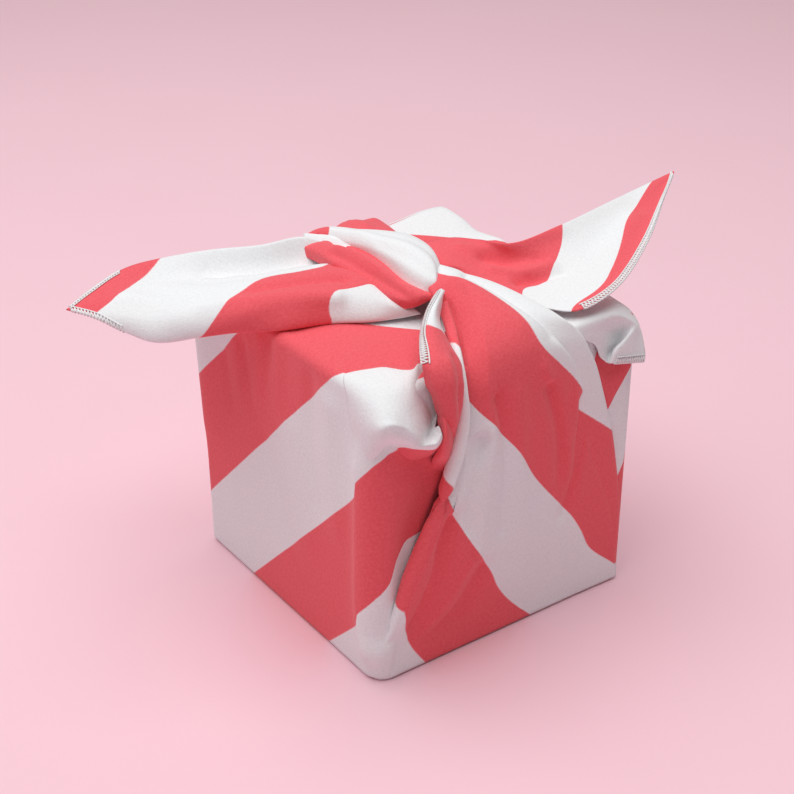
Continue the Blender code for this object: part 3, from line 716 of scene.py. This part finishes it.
FRONT_PLEAT = (
    ((22, -59.6, 1), (59.2, -59.6, 1), 0, 67, 90, 0, 0),
    ((22, -59.8, 12), (59, -60.2, 9), 0.2, 72, 95.5, 0, 1),
    ((20, -60, 26), (58.4, -60.8, 24), 0.4, 80, 104, 0, 1.2),
    ((18, -60.2, 44), (57, -61.2, 40), 0.6, 92, 114, 0, 1.4),
    ((14, -60.4, 60), (54, -61.6, 55), 0.8, 102, 124, 0, 1.6),
    ((12, -60.6, 76), (50, -62, 72), 1, 112, 133, 0, 1.8),
    ((11, -60.8, 90), (45, -62.4, 87), 1.2, 122, 141, 0, 2),
    ((10, -61, 106), (39.2, -62.8, 103), 1.2, 132, 150, 0, 2),
    ((9, -60, 116), (35, -62.8, 111.5), 1.4, 134, 153, 0, 2),
    ((8, -57, 122), (31, -61.5, 119.5), 1.6, 136, 156, 0, 2),
    ((6, -47, 127), (25.5, -58.5, 125.5), 2, 138, 158, 0, 2),
    ((5, -36, 129), (22, -48, 128.5), 2, 138, 158, 0, 1.5),
    ((3, -22, 131), (17, -30, 131), 1.5, 138, 158, 0, 1),
    ((1, -10, 131), (11, -14, 131.5), 1, 138, 158, 0, 1),
)
lay_folded(*fold_of_cloth(FRONT_PLEAT, 110, 34))


# ---- Back arm: the far corner of the cloth, brought up over the left-back side ------------------
# The far corner of the square lies flat up the back side, gathered from both of its edges towards
# the knot.  Its stripes follow the same flat cloth.

BACK_ARM = (
    ((57, 60.2, 1), (-57, 60.2, 1), 0, 0, 87, 0, 0),
    ((57, 61.1, 7), (-57, 61.1, 7), 0, 3, 91, 1, 0.8),
    ((56, 61.6, 22), (-55, 61, 22), 0.2, 12, 100, 2, 1.4),
    ((51, 62.8, 48), (-49, 62, 50), 0.6, 34, 116, 3, 2),
    ((41, 63.6, 76), (-39, 62.8, 80), 1.4, 60, 130, 3.6, 2.4),
    ((32, 64, 102), (-31, 63.4, 103), 2.4, 86, 140, 4, 2.6),
    ((27, 61, 119), (-27, 61, 117), 3.2, 100, 146, 4, 2.6),
    ((22.5, 50, 127), (-24, 52, 124), 3.4, 106, 147, 3.6, 2.4),
    ((18, 35, 130), (-20, 37, 129), 3.2, 112, 146, 3, 2),
    ((11, 15, 131), (-14, 20, 131), 3, 120, 144, 2, 2),
    ((7, 0, 132), (-8, 2, 132), 1.5, 126, 142, 1, 1),
)
BACK_ARM_FOLDS = (
    (1.8, 0.8, 3, 4, 1.6, ((6, 40, 133), (10, 62, 112), (18, 64, 80), (28, 62, 44))),
    (-1.8, -0.8, 3, 4, 1.8, ((0, 44, 133), (1, 64, 110), (4, 64, 76), (8, 62, 44))),
    (1.6, 0.8, 3, 4, 1.6, ((-8, 44, 132), (-10, 64, 108), (-14, 64, 70), (-22, 62, 34))),
    (-1.4, -0.6, 3, 3, 1.8, ((-15, 48, 130), (-19, 64, 104), (-26, 63, 66), (-36, 62, 32))),
    (1.2, 0.6, 3, 4, 1.6, ((16, 48, 131), (24, 63, 100), (36, 63, 62), (44, 61, 34))),
)
lay_folded(*fold_of_cloth(BACK_ARM, 110, 56, curl=(5, 4), bulge=6), BACK_ARM_FOLDS)


# ---- Roll: the hemmed edge of the front corner, rolled and tucked behind the lip ----------------
# The overlocked edge of the front arm comes out of the knot, turns over to the left in a soft
# roll, and is pushed down behind the lip.

ROLL = (
    # points from the hem over the crest to the tucked side: x, y, z, across the flat cloth
    ((-7, -26, 133.5, 82), (-8, -28, 135, 81), (-8, -29.5, 135, 81),
     (-7, -29, 134, 80), (-6, -27, 132, 80)),
    ((-17, -34.5, 135.2, 86), (-17, -36, 136.3, 85), (-17, -38, 136.5, 84),
     (-15, -37, 135, 84), (-12, -34, 132, 84)),
    ((-24.1, -40, 133.4, 90), (-24, -42, 135, 90), (-23.6, -44.5, 135, 90),
     (-21.5, -44, 133.3, 90), (-18, -41, 129.5, 90)),
    ((-32.3, -48.5, 131.5, 96), (-31.5, -51, 133.2, 97), (-29.5, -53.5, 133, 97),
     (-25.6, -53.5, 130.6, 97), (-21.8, -52, 126.4, 97)),
    ((-41.3, -61.5, 130.1, 103), (-39, -63.5, 130.3, 105), (-35.2, -65, 130, 105),
     (-27.3, -62.5, 127, 105), (-22.3, -59, 122, 105)),
    ((-41, -63, 122, 108), (-40.3, -68, 124.3, 111), (-35.6, -69.5, 124.3, 111),
     (-27.7, -66.5, 120.8, 111), (-24, -62, 116, 111)),
    ((-39, -63.5, 117.7, 112), (-38.5, -68.5, 118.7, 115), (-34.6, -69.5, 117.7, 116),
     (-27.5, -66.5, 114.4, 116), (-24, -62, 110, 116)),
    ((-36.8, -62.5, 112.3, 116), (-36.8, -67.5, 113, 119), (-33.6, -69, 112, 120),
     (-28, -66.5, 109.3, 120), (-24.7, -62, 105.3, 120)),
    ((-34.7, -61.5, 107.3, 120), (-35.5, -66, 107.7, 123), (-33.6, -68, 106.8, 123),
     (-29, -66, 104.3, 123), (-26, -62, 100.6, 123)),
    ((-31.3, -60.5, 102, 124), (-31.8, -63.5, 101.7, 126), (-31.2, -65, 100.2, 126),
     (-28.8, -64, 97.3, 126), (-26.7, -61.5, 95, 126)),
)
ROLL_FOLDS = (
    (1.2, 0.8, 1.8, 2.6, 1.6, ((-33, -66, 130), (-35, -69, 122), (-33.5, -69, 112), (-32, -66, 105))),
    (-1, -0.6, 1.8, 1.8, 2, ((-27, -63, 129), (-29.5, -69, 120), (-29.5, -68, 110))),
)
grid, normal = lay_folded(*drape(ROLL, 90, 44), ROLL_FOLDS)
hems = [(grid[2:42], normal[2:42], 0)]  # parts of the cloth with an overlocked edge, and its column


# ---- Knot: two bands of doubled cloth, wound over the crossing of the arms ----------------------
# One arm is passed over the other and back under it.  What shows is a full white band from the
# far side to the front, and a narrower red one, twisted, that comes out from under it.

KNOT_WRAP = (
    ((-16, 50, 128, 44), (-16, 49, 131, 44), (-16, 49, 131, 44),
     (-16, 48.5, 131, 44), (-16, 47, 128, 44)),
    ((-9, 51, 128, 50), (-10.5, 49, 132, 50), (-13, 45, 133.5, 50),
     (-14.5, 43, 131.5, 50), (-15, 42, 128, 50)),
    ((-4, 48, 128, 56), (-6, 45.5, 133, 56), (-9.5, 40, 135, 56),
     (-12, 37.5, 132, 56), (-13, 36, 129, 56)),
    ((3, 38, 128, 62), (0, 36, 134, 62), (-6, 27, 137.5, 64), (-9.5, 22.5, 135, 64), (-9, 23, 130, 66)),
    ((12, 29, 127, 66), (8, 28, 134, 68), (-3, 15, 138.5, 70), (-8, 8.5, 136.5, 72), (-9, 8, 130, 74)),
    ((17, 21, 127, 70), (13, 20, 134, 72), (0, 3, 139.5, 75), (-8, -7, 137, 78), (-11, -9, 130, 82)),
    ((15, 6, 127, 72), (12, 6, 134.5, 74), (1, -8, 138.5, 76),
     (-6.5, -16, 136, 80), (-10, -17, 130, 84)),
    ((9, -6, 127, 74), (7, -7, 134, 75), (0, -15, 136.5, 78), (-5, -20, 134.5, 80), (-8, -20, 130, 84)),
    ((2, -14, 128, 76), (2, -15, 132.5, 77), (-1, -18, 133.5, 78),
     (-4, -21, 132.5, 79), (-5, -21, 130, 80)),
)
KNOT_WRAP_FOLDS = (
    (-0.6, -0.9, 2.4, 3.2, 2, ((-3, 34, 137), (3, 12, 139), (5, -4, 138), (1, -16, 135))),
    (0.4, 0.3, 2.6, 3, 2, ((-6, 27, 138), (-2, 6, 140), (-1, -10, 138), (-2, -18, 135))),
    (-0.5, -0.7, 2, 2.6, 2, ((-7, 12, 138), (-6, -4, 138), (-4, -17, 135))),
)
lay_folded(*drape(KNOT_WRAP, 80, 44), KNOT_WRAP_FOLDS)

KNOT_TWIST = (
    ((-21, 43, 127, 104), (-21, 42, 130, 104), (-22, 41, 130.5, 104),
     (-22.5, 40, 130, 104), (-23, 39, 127, 104)),
    ((-12, 42, 128, 104), (-14, 41, 131, 104), (-19, 35, 132.5, 108),
     (-22, 31.5, 131, 112), (-22, 31, 127, 114)),
    ((-6, 33, 128, 104), (-9, 33, 132, 104), (-16, 21, 134.5, 108),
     (-22, 14.5, 132, 113), (-23, 15, 127, 116)),
    ((-3, 24, 128, 104), (-6, 23, 132, 104), (-13, 11, 134.5, 108),
     (-20, 4, 131.5, 113), (-21, 5, 126, 116)),
    ((-3, 12, 128, 104), (-5.5, 11, 131.5, 104), (-13, -1, 134, 108),
     (-20, -6, 130.5, 113), (-21, -5, 125.5, 116)),
    ((-9, -8, 128, 104), (-10, -9, 131.5, 104), (-15, -14, 132.5, 107),
     (-19, -16.5, 129.5, 111), (-19, -15, 125.5, 113)),
    ((-8, -17, 128, 104), (-9, -18.5, 131, 104), (-13, -21.5, 131.8, 106),
     (-15, -22, 129, 108), (-15, -20, 126, 110)),
    ((-6, -21, 128, 104), (-7, -22, 130.5, 104), (-8, -23.5, 130.8, 105),
     (-9, -24, 129.5, 106), (-8, -22, 128, 106)),
)
KNOT_TWIST_FOLDS = (
    (-1.5, -1.2, 1.6, 2, 1.6, ((-13, 33, 134), (-11, 18, 135), (-10, 4, 134), (-13, -11, 133))),
    (1.2, 1, 1.8, 1.8, 1.6, ((-17, 26, 135), (-15, 10, 135), (-15, -4, 134), (-15, -18, 132))),
    (-1.2, -1, 1.6, 1.6, 1.6, ((-20, 24, 133), (-19, 8, 133), (-18, -6, 132), (-16, -17, 130))),
)
lay_folded(*drape(KNOT_TWIST, 80, 40), KNOT_TWIST_FOLDS)

# The white edge of the ply between the two bands.
KNOT_EDGE = (
    ((-15, 51, 130.5, 70), (-17, 49, 131.8, 70), (-19, 46, 130.5, 70)),
    ((-9, 42, 131, 70), (-12, 39, 133.2, 70), (-15, 35, 131, 70)),
    ((-5, 31, 131, 70), (-8, 28.5, 134, 70), (-12, 23, 131.5, 70)),
    ((-4, 22, 130, 70), (-7, 20, 133, 70), (-10, 15, 130.5, 70)),
)
lay_folded(*drape(KNOT_EDGE, 30, 12))


# ---- Ears: the two free corners of the cloth, standing out from the knot ------------------------
# Each is one corner of the square, single below its hems and doubled along a long soft fold.  The
# left one hangs out over the side with a hollow behind its crest; the right one stands up.

LEFT_EAR = (
    # points from the back edge over hollow, crest and face to the rolled lower edge
    ((-116, 54, 125, 43), (-116.2, 53.8, 125.2, 43), (-116.3, 53.6, 125.2, 43),
     (-116.2, 53.4, 125, 43), (-116, 53.2, 124.8, 43), (-115.6, 53.4, 124.8, 43)),
    ((-104, 58, 128, 44), (-106, 54, 127.6, 46), (-108, 49.5, 127, 49),
     (-109.3, 46, 125.6, 53), (-110, 43.5, 124, 56), (-109, 44.5, 123.6, 57)),
    ((-87, 64, 130, 47), (-92, 54, 129.2, 52), (-97, 43.5, 128.8, 58),
     (-102, 35.5, 125.5, 66), (-103, 33.5, 120, 72), (-99, 38, 118.5, 76)),
    ((-71, 62, 131, 56), (-76.5, 52, 127.6, 61), (-84, 39, 129.4, 68),
     (-92.5, 26.5, 125.5, 78), (-95.5, 24.5, 117.5, 86), (-88, 34, 116, 92)),
    ((-54, 56, 132, 66), (-58.5, 47, 125.4, 75), (-69.5, 30, 130.4, 82),
     (-79, 18.5, 127, 89), (-82, 17.5, 118.5, 94), (-74, 28, 116.5, 98)),
    ((-38, 47, 133, 76), (-42, 39, 124.8, 84), (-52, 22.5, 131.8, 94),
     (-66, 8.5, 130, 103), (-71, 9.5, 120.5, 105), (-65, 20, 118.5, 108)),
    ((-23, 43, 134, 82), (-27, 35, 124.8, 88), (-38, 18, 132.4, 95),
     (-51.5, 3, 131, 116), (-58, -1, 122, 121), (-54, 10, 121, 124)),
    ((-15, 37, 132, 86), (-19, 30, 125, 90), (-26.5, 14, 132.4, 100),
     (-36.5, -1.5, 131, 132), (-41, -6.5, 122, 133), (-38, 4, 121, 134)),
    ((-13, 26, 130, 88), (-16, 19, 128.5, 94), (-22, 3, 132, 122),
     (-26.5, -9.5, 129, 144), (-28.5, -14, 122, 148), (-26, -4, 121, 148)),
    ((-12, 8, 128, 90), (-15, 1, 127.5, 100), (-19, -9, 129, 140),
     (-20.5, -16, 127, 150), (-17, -18, 122, 150), (-15, -10, 121, 150)),
    ((-9, -8, 127, 95), (-11, -12, 127, 110), (-13, -16, 127, 140),
     (-13, -19, 125, 150), (-11, -20, 122.5, 150), (-10, -14, 122, 150)),
)
LEFT_EAR_FOLDS = (
    # The hollow behind the crest, two folds that fan out from the knot, and soft dents in the face.
    (-1.8, -3.4, 3.4, 3, 2, ((-62, 46, 130), (-44, 36, 130), (-30, 30, 130), (-20, 26, 130))),
    (1.5, 1.6, 2, 2.4, 1.6, ((-66, 40, 131), (-50, 31, 132), (-36, 26, 132), (-24, 22, 133))),
    (-1.6, -2.4, 2.2, 2.6, 1.6, ((-60, 16, 131), (-48, 12, 133), (-36, 8, 133), (-28, 4, 132))),
    (0.9, 1.8, 3, 3, 2, ((-78, 22, 128), (-62, 10, 129), (-48, 3, 129), (-36, -3, 129))),
    (-0.8, -0.6, 5, 5, 2, ((-88, 44, 130), (-80, 33, 130), (-76, 24, 127))),
    (0.8, 0.5, 4, 4, 2, ((-98, 44, 128), (-90, 36, 128), (-88, 26, 124))),
)
LEFT_EAR_LOWER = 56  # the column along its rolled lower edge
grid, normal = lay_folded(*drape(LEFT_EAR, 130, 70), LEFT_EAR_FOLDS, (-75, 40, 60))
hems += [(grid[2:26], normal[2:26], 0), (grid[2:27], normal[2:27], LEFT_EAR_LOWER)]

RIGHT_EAR = (
    # points from the upper edge over the hollow to the hem
    ((130, -3.4, 141, 42), (130, -3.5, 141, 42), (130, -3.6, 141, 42),
     (129.9, -3.8, 141, 42), (129.8, -4, 141, 42)),
    ((120, -4, 140, 53), (118, -7, 140, 50), (116, -10.5, 139, 47),
     (114, -14, 138.6, 43), (112, -16.8, 138, 41)),
    ((90, -9, 139, 72), (89, -15, 137, 65), (85.5, -23, 136, 55.5),
     (82.5, -33, 135, 49), (81, -40.5, 136, 43)),
    ((61, -14, 138, 94), (60.5, -22, 134, 87), (56, -34, 131.5, 75),
     (51, -50.5, 131, 55), (51, -58, 132.6, 43)),
    ((38, -14, 136, 118), (39, -20.5, 132, 109), (37, -33, 128.5, 94),
     (33.5, -47.5, 127.8, 68), (33, -58, 127.2, 48)),
    ((32, 0, 134, 122), (31.5, -10, 131, 119), (31, -23, 128, 110),
     (27.5, -37, 127, 87), (25, -49, 126, 75)),
    ((26, 10, 133, 127), (23.5, -2, 132, 125), (23, -12, 129, 120),
     (21, -24, 127.5, 112), (19, -34, 126.5, 100)),
    ((17, 13, 132, 130), (13.5, 2, 132.5, 129), (13, -7, 131.5, 127),
     (15, -11.5, 129.5, 122), (15, -17, 127.5, 115)),
    ((10, 13, 130, 131), (7, 5, 131, 131), (6, -2, 131, 130), (7, -6, 130, 128), (9, -8, 128, 122)),
)
RIGHT_EAR_FOLDS = (
    # The dents where it leaves the knot, and the long soft bow of its upper edge.
    (-2.6, -1.4, 3, 3, 2, ((28, -8, 131), (34, -16, 131), (42, -22, 131))),
    (-2.8, -1.4, 2.4, 2.4, 2, ((29, -27, 128), (36, -31, 129), (44, -34, 130))),
    (1.6, 1, 2.4, 2.4, 1.8, ((26, -16, 130), (34, -25, 130), (44, -28, 131))),
    (1.2, 0.6, 3, 3, 2, ((24, 2, 133), (38, -12, 135), (58, -16, 137))),
    (-0.9, -0.6, 5, 5, 2, ((100, -16, 138), (80, -22, 136), (62, -28, 133))),
    (0.9, 0.6, 4, 4, 2, ((92, -22, 137), (74, -34, 133), (56, -46, 132))),
)
grid, normal = lay_folded(*drape(RIGHT_EAR, 130, 60), RIGHT_EAR_FOLDS, (70, -20, 60))
hems.append((grid[2:66], normal[2:66], -1))


# ---- Corner loop: the slack of the right corner, turned back under its own hem ------------------
# The white cloth of the right corner comes forward over the edge, turns under, and its overlocked
# hem shows below a shaded opening.

CORNER_LOOP = (
    # points from the flap, over the opening, to the outer turn
    ((22, -40, 121.2, 140), (32, -40, 122.4, 142), (44, -41, 123, 146),
     (52, -42, 122.5, 150), (59, -44, 120.2, 154)),
    ((23, -51, 122, 140), (34, -53, 123, 142), (46, -54.5, 123.6, 146),
     (53, -55, 122.6, 150), (60, -54, 118.3, 154)),
    ((24, -58.5, 121.6, 140), (36, -60.5, 122.5, 142), (46, -61.5, 122.3, 146),
     (52.8, -61, 119.8, 150), (60.4, -58.5, 115.4, 154)),
    ((29, -61, 118, 140), (40, -61, 116.5, 142), (50.4, -59.2, 113.6, 146),
     (55.7, -62.5, 115.5, 150), (61.8, -60, 110.6, 154)),
    ((37.6, -61, 112.4, 140), (43.5, -60.6, 110.9, 142), (51.7, -58.9, 108.5, 146),
     (51, -64, 112.9, 150), (61.5, -62, 106.9, 154)),
    ((40.7, -60.8, 106.8, 140), (44, -60.4, 106.5, 142), (48.3, -59, 105.8, 146),
     (45.4, -65, 110, 150), (61.3, -63.5, 103, 154)),
    ((43.8, -60.8, 103.4, 140), (44.2, -61, 103.1, 142), (44.4, -62, 103.3, 146),
     (43.2, -65, 104.8, 150), (60.4, -64.5, 100.3, 154)),
)
grid, normal = lay_folded(*drape(CORNER_LOOP, 70, 50))
hems.append((np.swapaxes(grid, 0, 1)[38:], np.swapaxes(normal, 0, 1)[38:], -1))


# ---- Overlock: the serged hem of the square, where it shows ------------------------------------
# White spun polyester.  A needle thread runs 2.6 mm in from the edge, and looper threads swing
# between it and the edge every 1.35 mm, on both faces, and wrap the raw edge.

HEM_WIDTH = 2.6
STITCH = 1.35
THREAD = 0.28  # radius, a little fuller than a real 0.2 mm so that it shows
BEAD = 0.42  # radius of the threads that wrap the raw edge, taken as one
BAND = 14  # columns of the cloth, from its edge, that a hem can reach over


def polyester_material():
    """Spun polyester thread: bright white, faintly shiny, with the fine slant of its twist."""
    finish, tree, shader = new_material("polyester_thread_spun")
    fibres = mottle(tree, node(tree, "ShaderNodeTexCoord").outputs["Object"], (2600, 2600, 2600))
    bump = node(tree, "ShaderNodeBump", [("Height", fibres), ("Strength", 0.3), ("Distance", 0.0001)])
    links = [
        ("Base Color", tint(tree, linear("#E4E0E2"), linear("#FBFAFA"), fibres)),
        ("Normal", bump.outputs[0]),
        ("Roughness", 0.6),
        ("Sheen Weight", 0.3),
    ]
    connect(tree, shader, links)
    return finish


def thread(path, radius, sides=5):
    """A round thread along a path: rings of its radius, square to the path, and two end caps."""
    ahead = np.gradient(path, axis=0)
    ahead /= np.linalg.norm(ahead, axis=1)[:, None]
    side = np.cross(ahead, (0.31, 0.17, 0.93))  # a direction that no hem runs along
    side /= np.linalg.norm(side, axis=1)[:, None]
    over = np.cross(ahead, side)
    turn = np.linspace(0, 2 * np.pi, sides, endpoint=False)[:, None]
    rings = path[:, None] + radius * (np.cos(turn) * side[:, None] + np.sin(turn) * over[:, None])
    number = np.arange(len(path) * sides).reshape(-1, sides)
    quads = quads_between(number, np.roll(number, -1, axis=1))
    return rings.reshape(-1, 3), quads.tolist() + [number[0][::-1].tolist(), number[-1].tolist()]


def hem_threads(grid, normal, column):
    """The threads of one hem: a needle line, a bead on the raw edge, and a swing on each face.

    Along the hem, the looper thread is at hem width × (1 − |2 × part of the stitch − 1|) from the
    edge, and it dips round the edge between two swings.
    """
    order = np.arange(BAND) if column == 0 else column - np.arange(BAND)
    run = run_along(grid[:, column])
    stitches = int(run[-1] / STITCH)
    place = np.linspace(0, stitches * STITCH, stitches * 8 + 1)
    before = np.clip(np.searchsorted(run, place) - 1, 0, len(run) - 2)
    part = ((place - run[before]) / np.maximum(run[before + 1] - run[before], 1e-6))[:, None, None]
    band, facing = (
        v[before] * (1 - part) + v[before + 1] * part for v in (grid[:, order], normal[:, order])
    )
    inland = np.cumsum(np.linalg.norm(np.diff(band, axis=1), axis=2), axis=1)
    inland = np.concatenate([0 * inland[:, :1], inland], axis=1)

    def at(distance, height):
        k = np.clip((inland <= distance[:, None]).sum(1) - 1, 0, BAND - 2)
        row = np.arange(len(k))
        part = (distance - inland[row, k]) / np.maximum(inland[row, k + 1] - inland[row, k], 1e-6)
        part = part[:, None]
        middle, up = (v[row, k] * (1 - part) + v[row, k + 1] * part for v in (band, facing))
        return middle + up * height[:, None]

    # The bead sways a little on the edge, and the loopers turn back 0.3 mm beyond it.
    swing = 1 - np.abs(2 * (place / STITCH % 1) - 1)
    wave = np.sin(2 * np.pi * place / STITCH)
    paths = [(at(-0.15 + 0 * place, -PLY / 2 - 0.12 * wave), BEAD)]
    for face, lift in ((1, THREAD), (-1, PLY + THREAD)):
        height = np.where(swing < 0.12, 0.0, lift) * face
        paths.append((at(HEM_WIDTH * swing - 0.3, height), THREAD))
        paths.append((at(HEM_WIDTH + 0 * place, (lift + 0.05 * wave) * face), THREAD))
    return [thread(path, radius) for path, radius in paths]


threads = [part for hem in hems for part in hem_threads(*hem)]
starts = np.cumsum([0] + [len(points) for points, _ in threads])
points = np.concatenate([points for points, _ in threads]) * MM
faces = [tuple(int(k + start) for k in face) for (_, part), start in zip(threads, starts) for face in part]
overlock = add_piece("overlock_stitches", points, faces, polyester_material())
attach(overlock, "root")


# ---- Tucked cloth: the rest of the square, folded away between the box and what shows -----------
# The slack of the front and far corners is folded under before they are tied, and the ends of the
# left and right corners lie under the knot.  It is laid flat round the box in U-shaped layers.

LAYERS = 7
LAYER_STEP = 0.17  # pressed flat between the box and the outer cloth
LAYER_PLY = 0.1
BOX_FACE = 57.2  # from the middle to the box's side


def tucked_layer(number, crossways):
    """A layer up one side of the box, over its top and down the other, at its own distance."""
    off = BOX_FACE + LAYER_STEP * number
    over = HALF + off + 0.02
    up = [(off, 6), (off, 40), (off, 80), (off, SIDE - 5), (off - 1.5, HALF + off), (off - 4, over)]
    path = np.array(up + [(20, over), (-20, over)] + [(-a, z) for a, z in reversed(up)])
    across = np.linspace(-44, 50, 8) if crossways else np.linspace(-38, 52, 8)
    side, across, z = np.broadcast_arrays(path[:, :1], across, path[:, 1:])
    return np.stack([side, across, z] if crossways else [across, -side, z], axis=2)


for number in range(LAYERS):
    grid = tucked_layer(number, number % 2 == 1)
    flat = np.stack([grid[..., 0] - grid[..., 1], grid[..., 0] + grid[..., 1]], axis=2)
    lay_ply(grid, flat, outward_normals(grid), LAYER_PLY)


# ---- The cloth as one piece --------------------------------------------------------------------
# Every ply above is part of the one square, so they are joined into one mesh, in metres, and it
# carries both maps of the cloth.

starts = np.cumsum([0] + [len(part[0]) for part in plies])
points = np.concatenate([part[0] for part in plies]) * MM
faces = np.concatenate([part[3] + start for part, start in zip(plies, starts)])
# A fan's last corner is repeated in the tables, so each face keeps its corners once.
faces = [tuple(dict.fromkeys(face)) for face in faces.tolist()]
cloth = add_piece("furoshiki_cloth", points, faces, cotton)
corners = np.empty(len(cloth.data.loops), dtype=np.int32)
cloth.data.loops.foreach_get("vertex_index", corners)
for number, name in ((1, "flat_cloth"), (2, "weave")):
    spread = np.concatenate([part[number] for part in plies]) * MM
    layer = cloth.data.uv_layers.new(name=name)
    layer.data.foreach_set("uv", spread[corners].astype(np.float32).ravel())
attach(cloth, "root")
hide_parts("cloth")


# ---- Box: the card gift box inside -------------------------------------------------------------
# A closed rigid box of plain brown board.  None of it shows; it carries the cloth.  Its paper is
# matt, with long faint fibres that run up it.

card, tree, shader = new_material("grey_board_wrapped_in_kraft_paper")
place = node(tree, "ShaderNodeTexCoord").outputs["Object"]
fibres = mottle(tree, place, (240, 240, 2000), 4.0)
bump = node(tree, "ShaderNodeBump", [("Height", fibres), ("Strength", 0.2), ("Distance", 0.0003)])
links = [
    ("Base Color", tint(tree, linear("#A27E5C"), linear("#BC9874"), fibres)),
    ("Normal", bump.outputs[0]),
    ("Roughness", 0.8),
]
connect(tree, shader, links)
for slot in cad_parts["box"].material_slots:
    slot.material = card
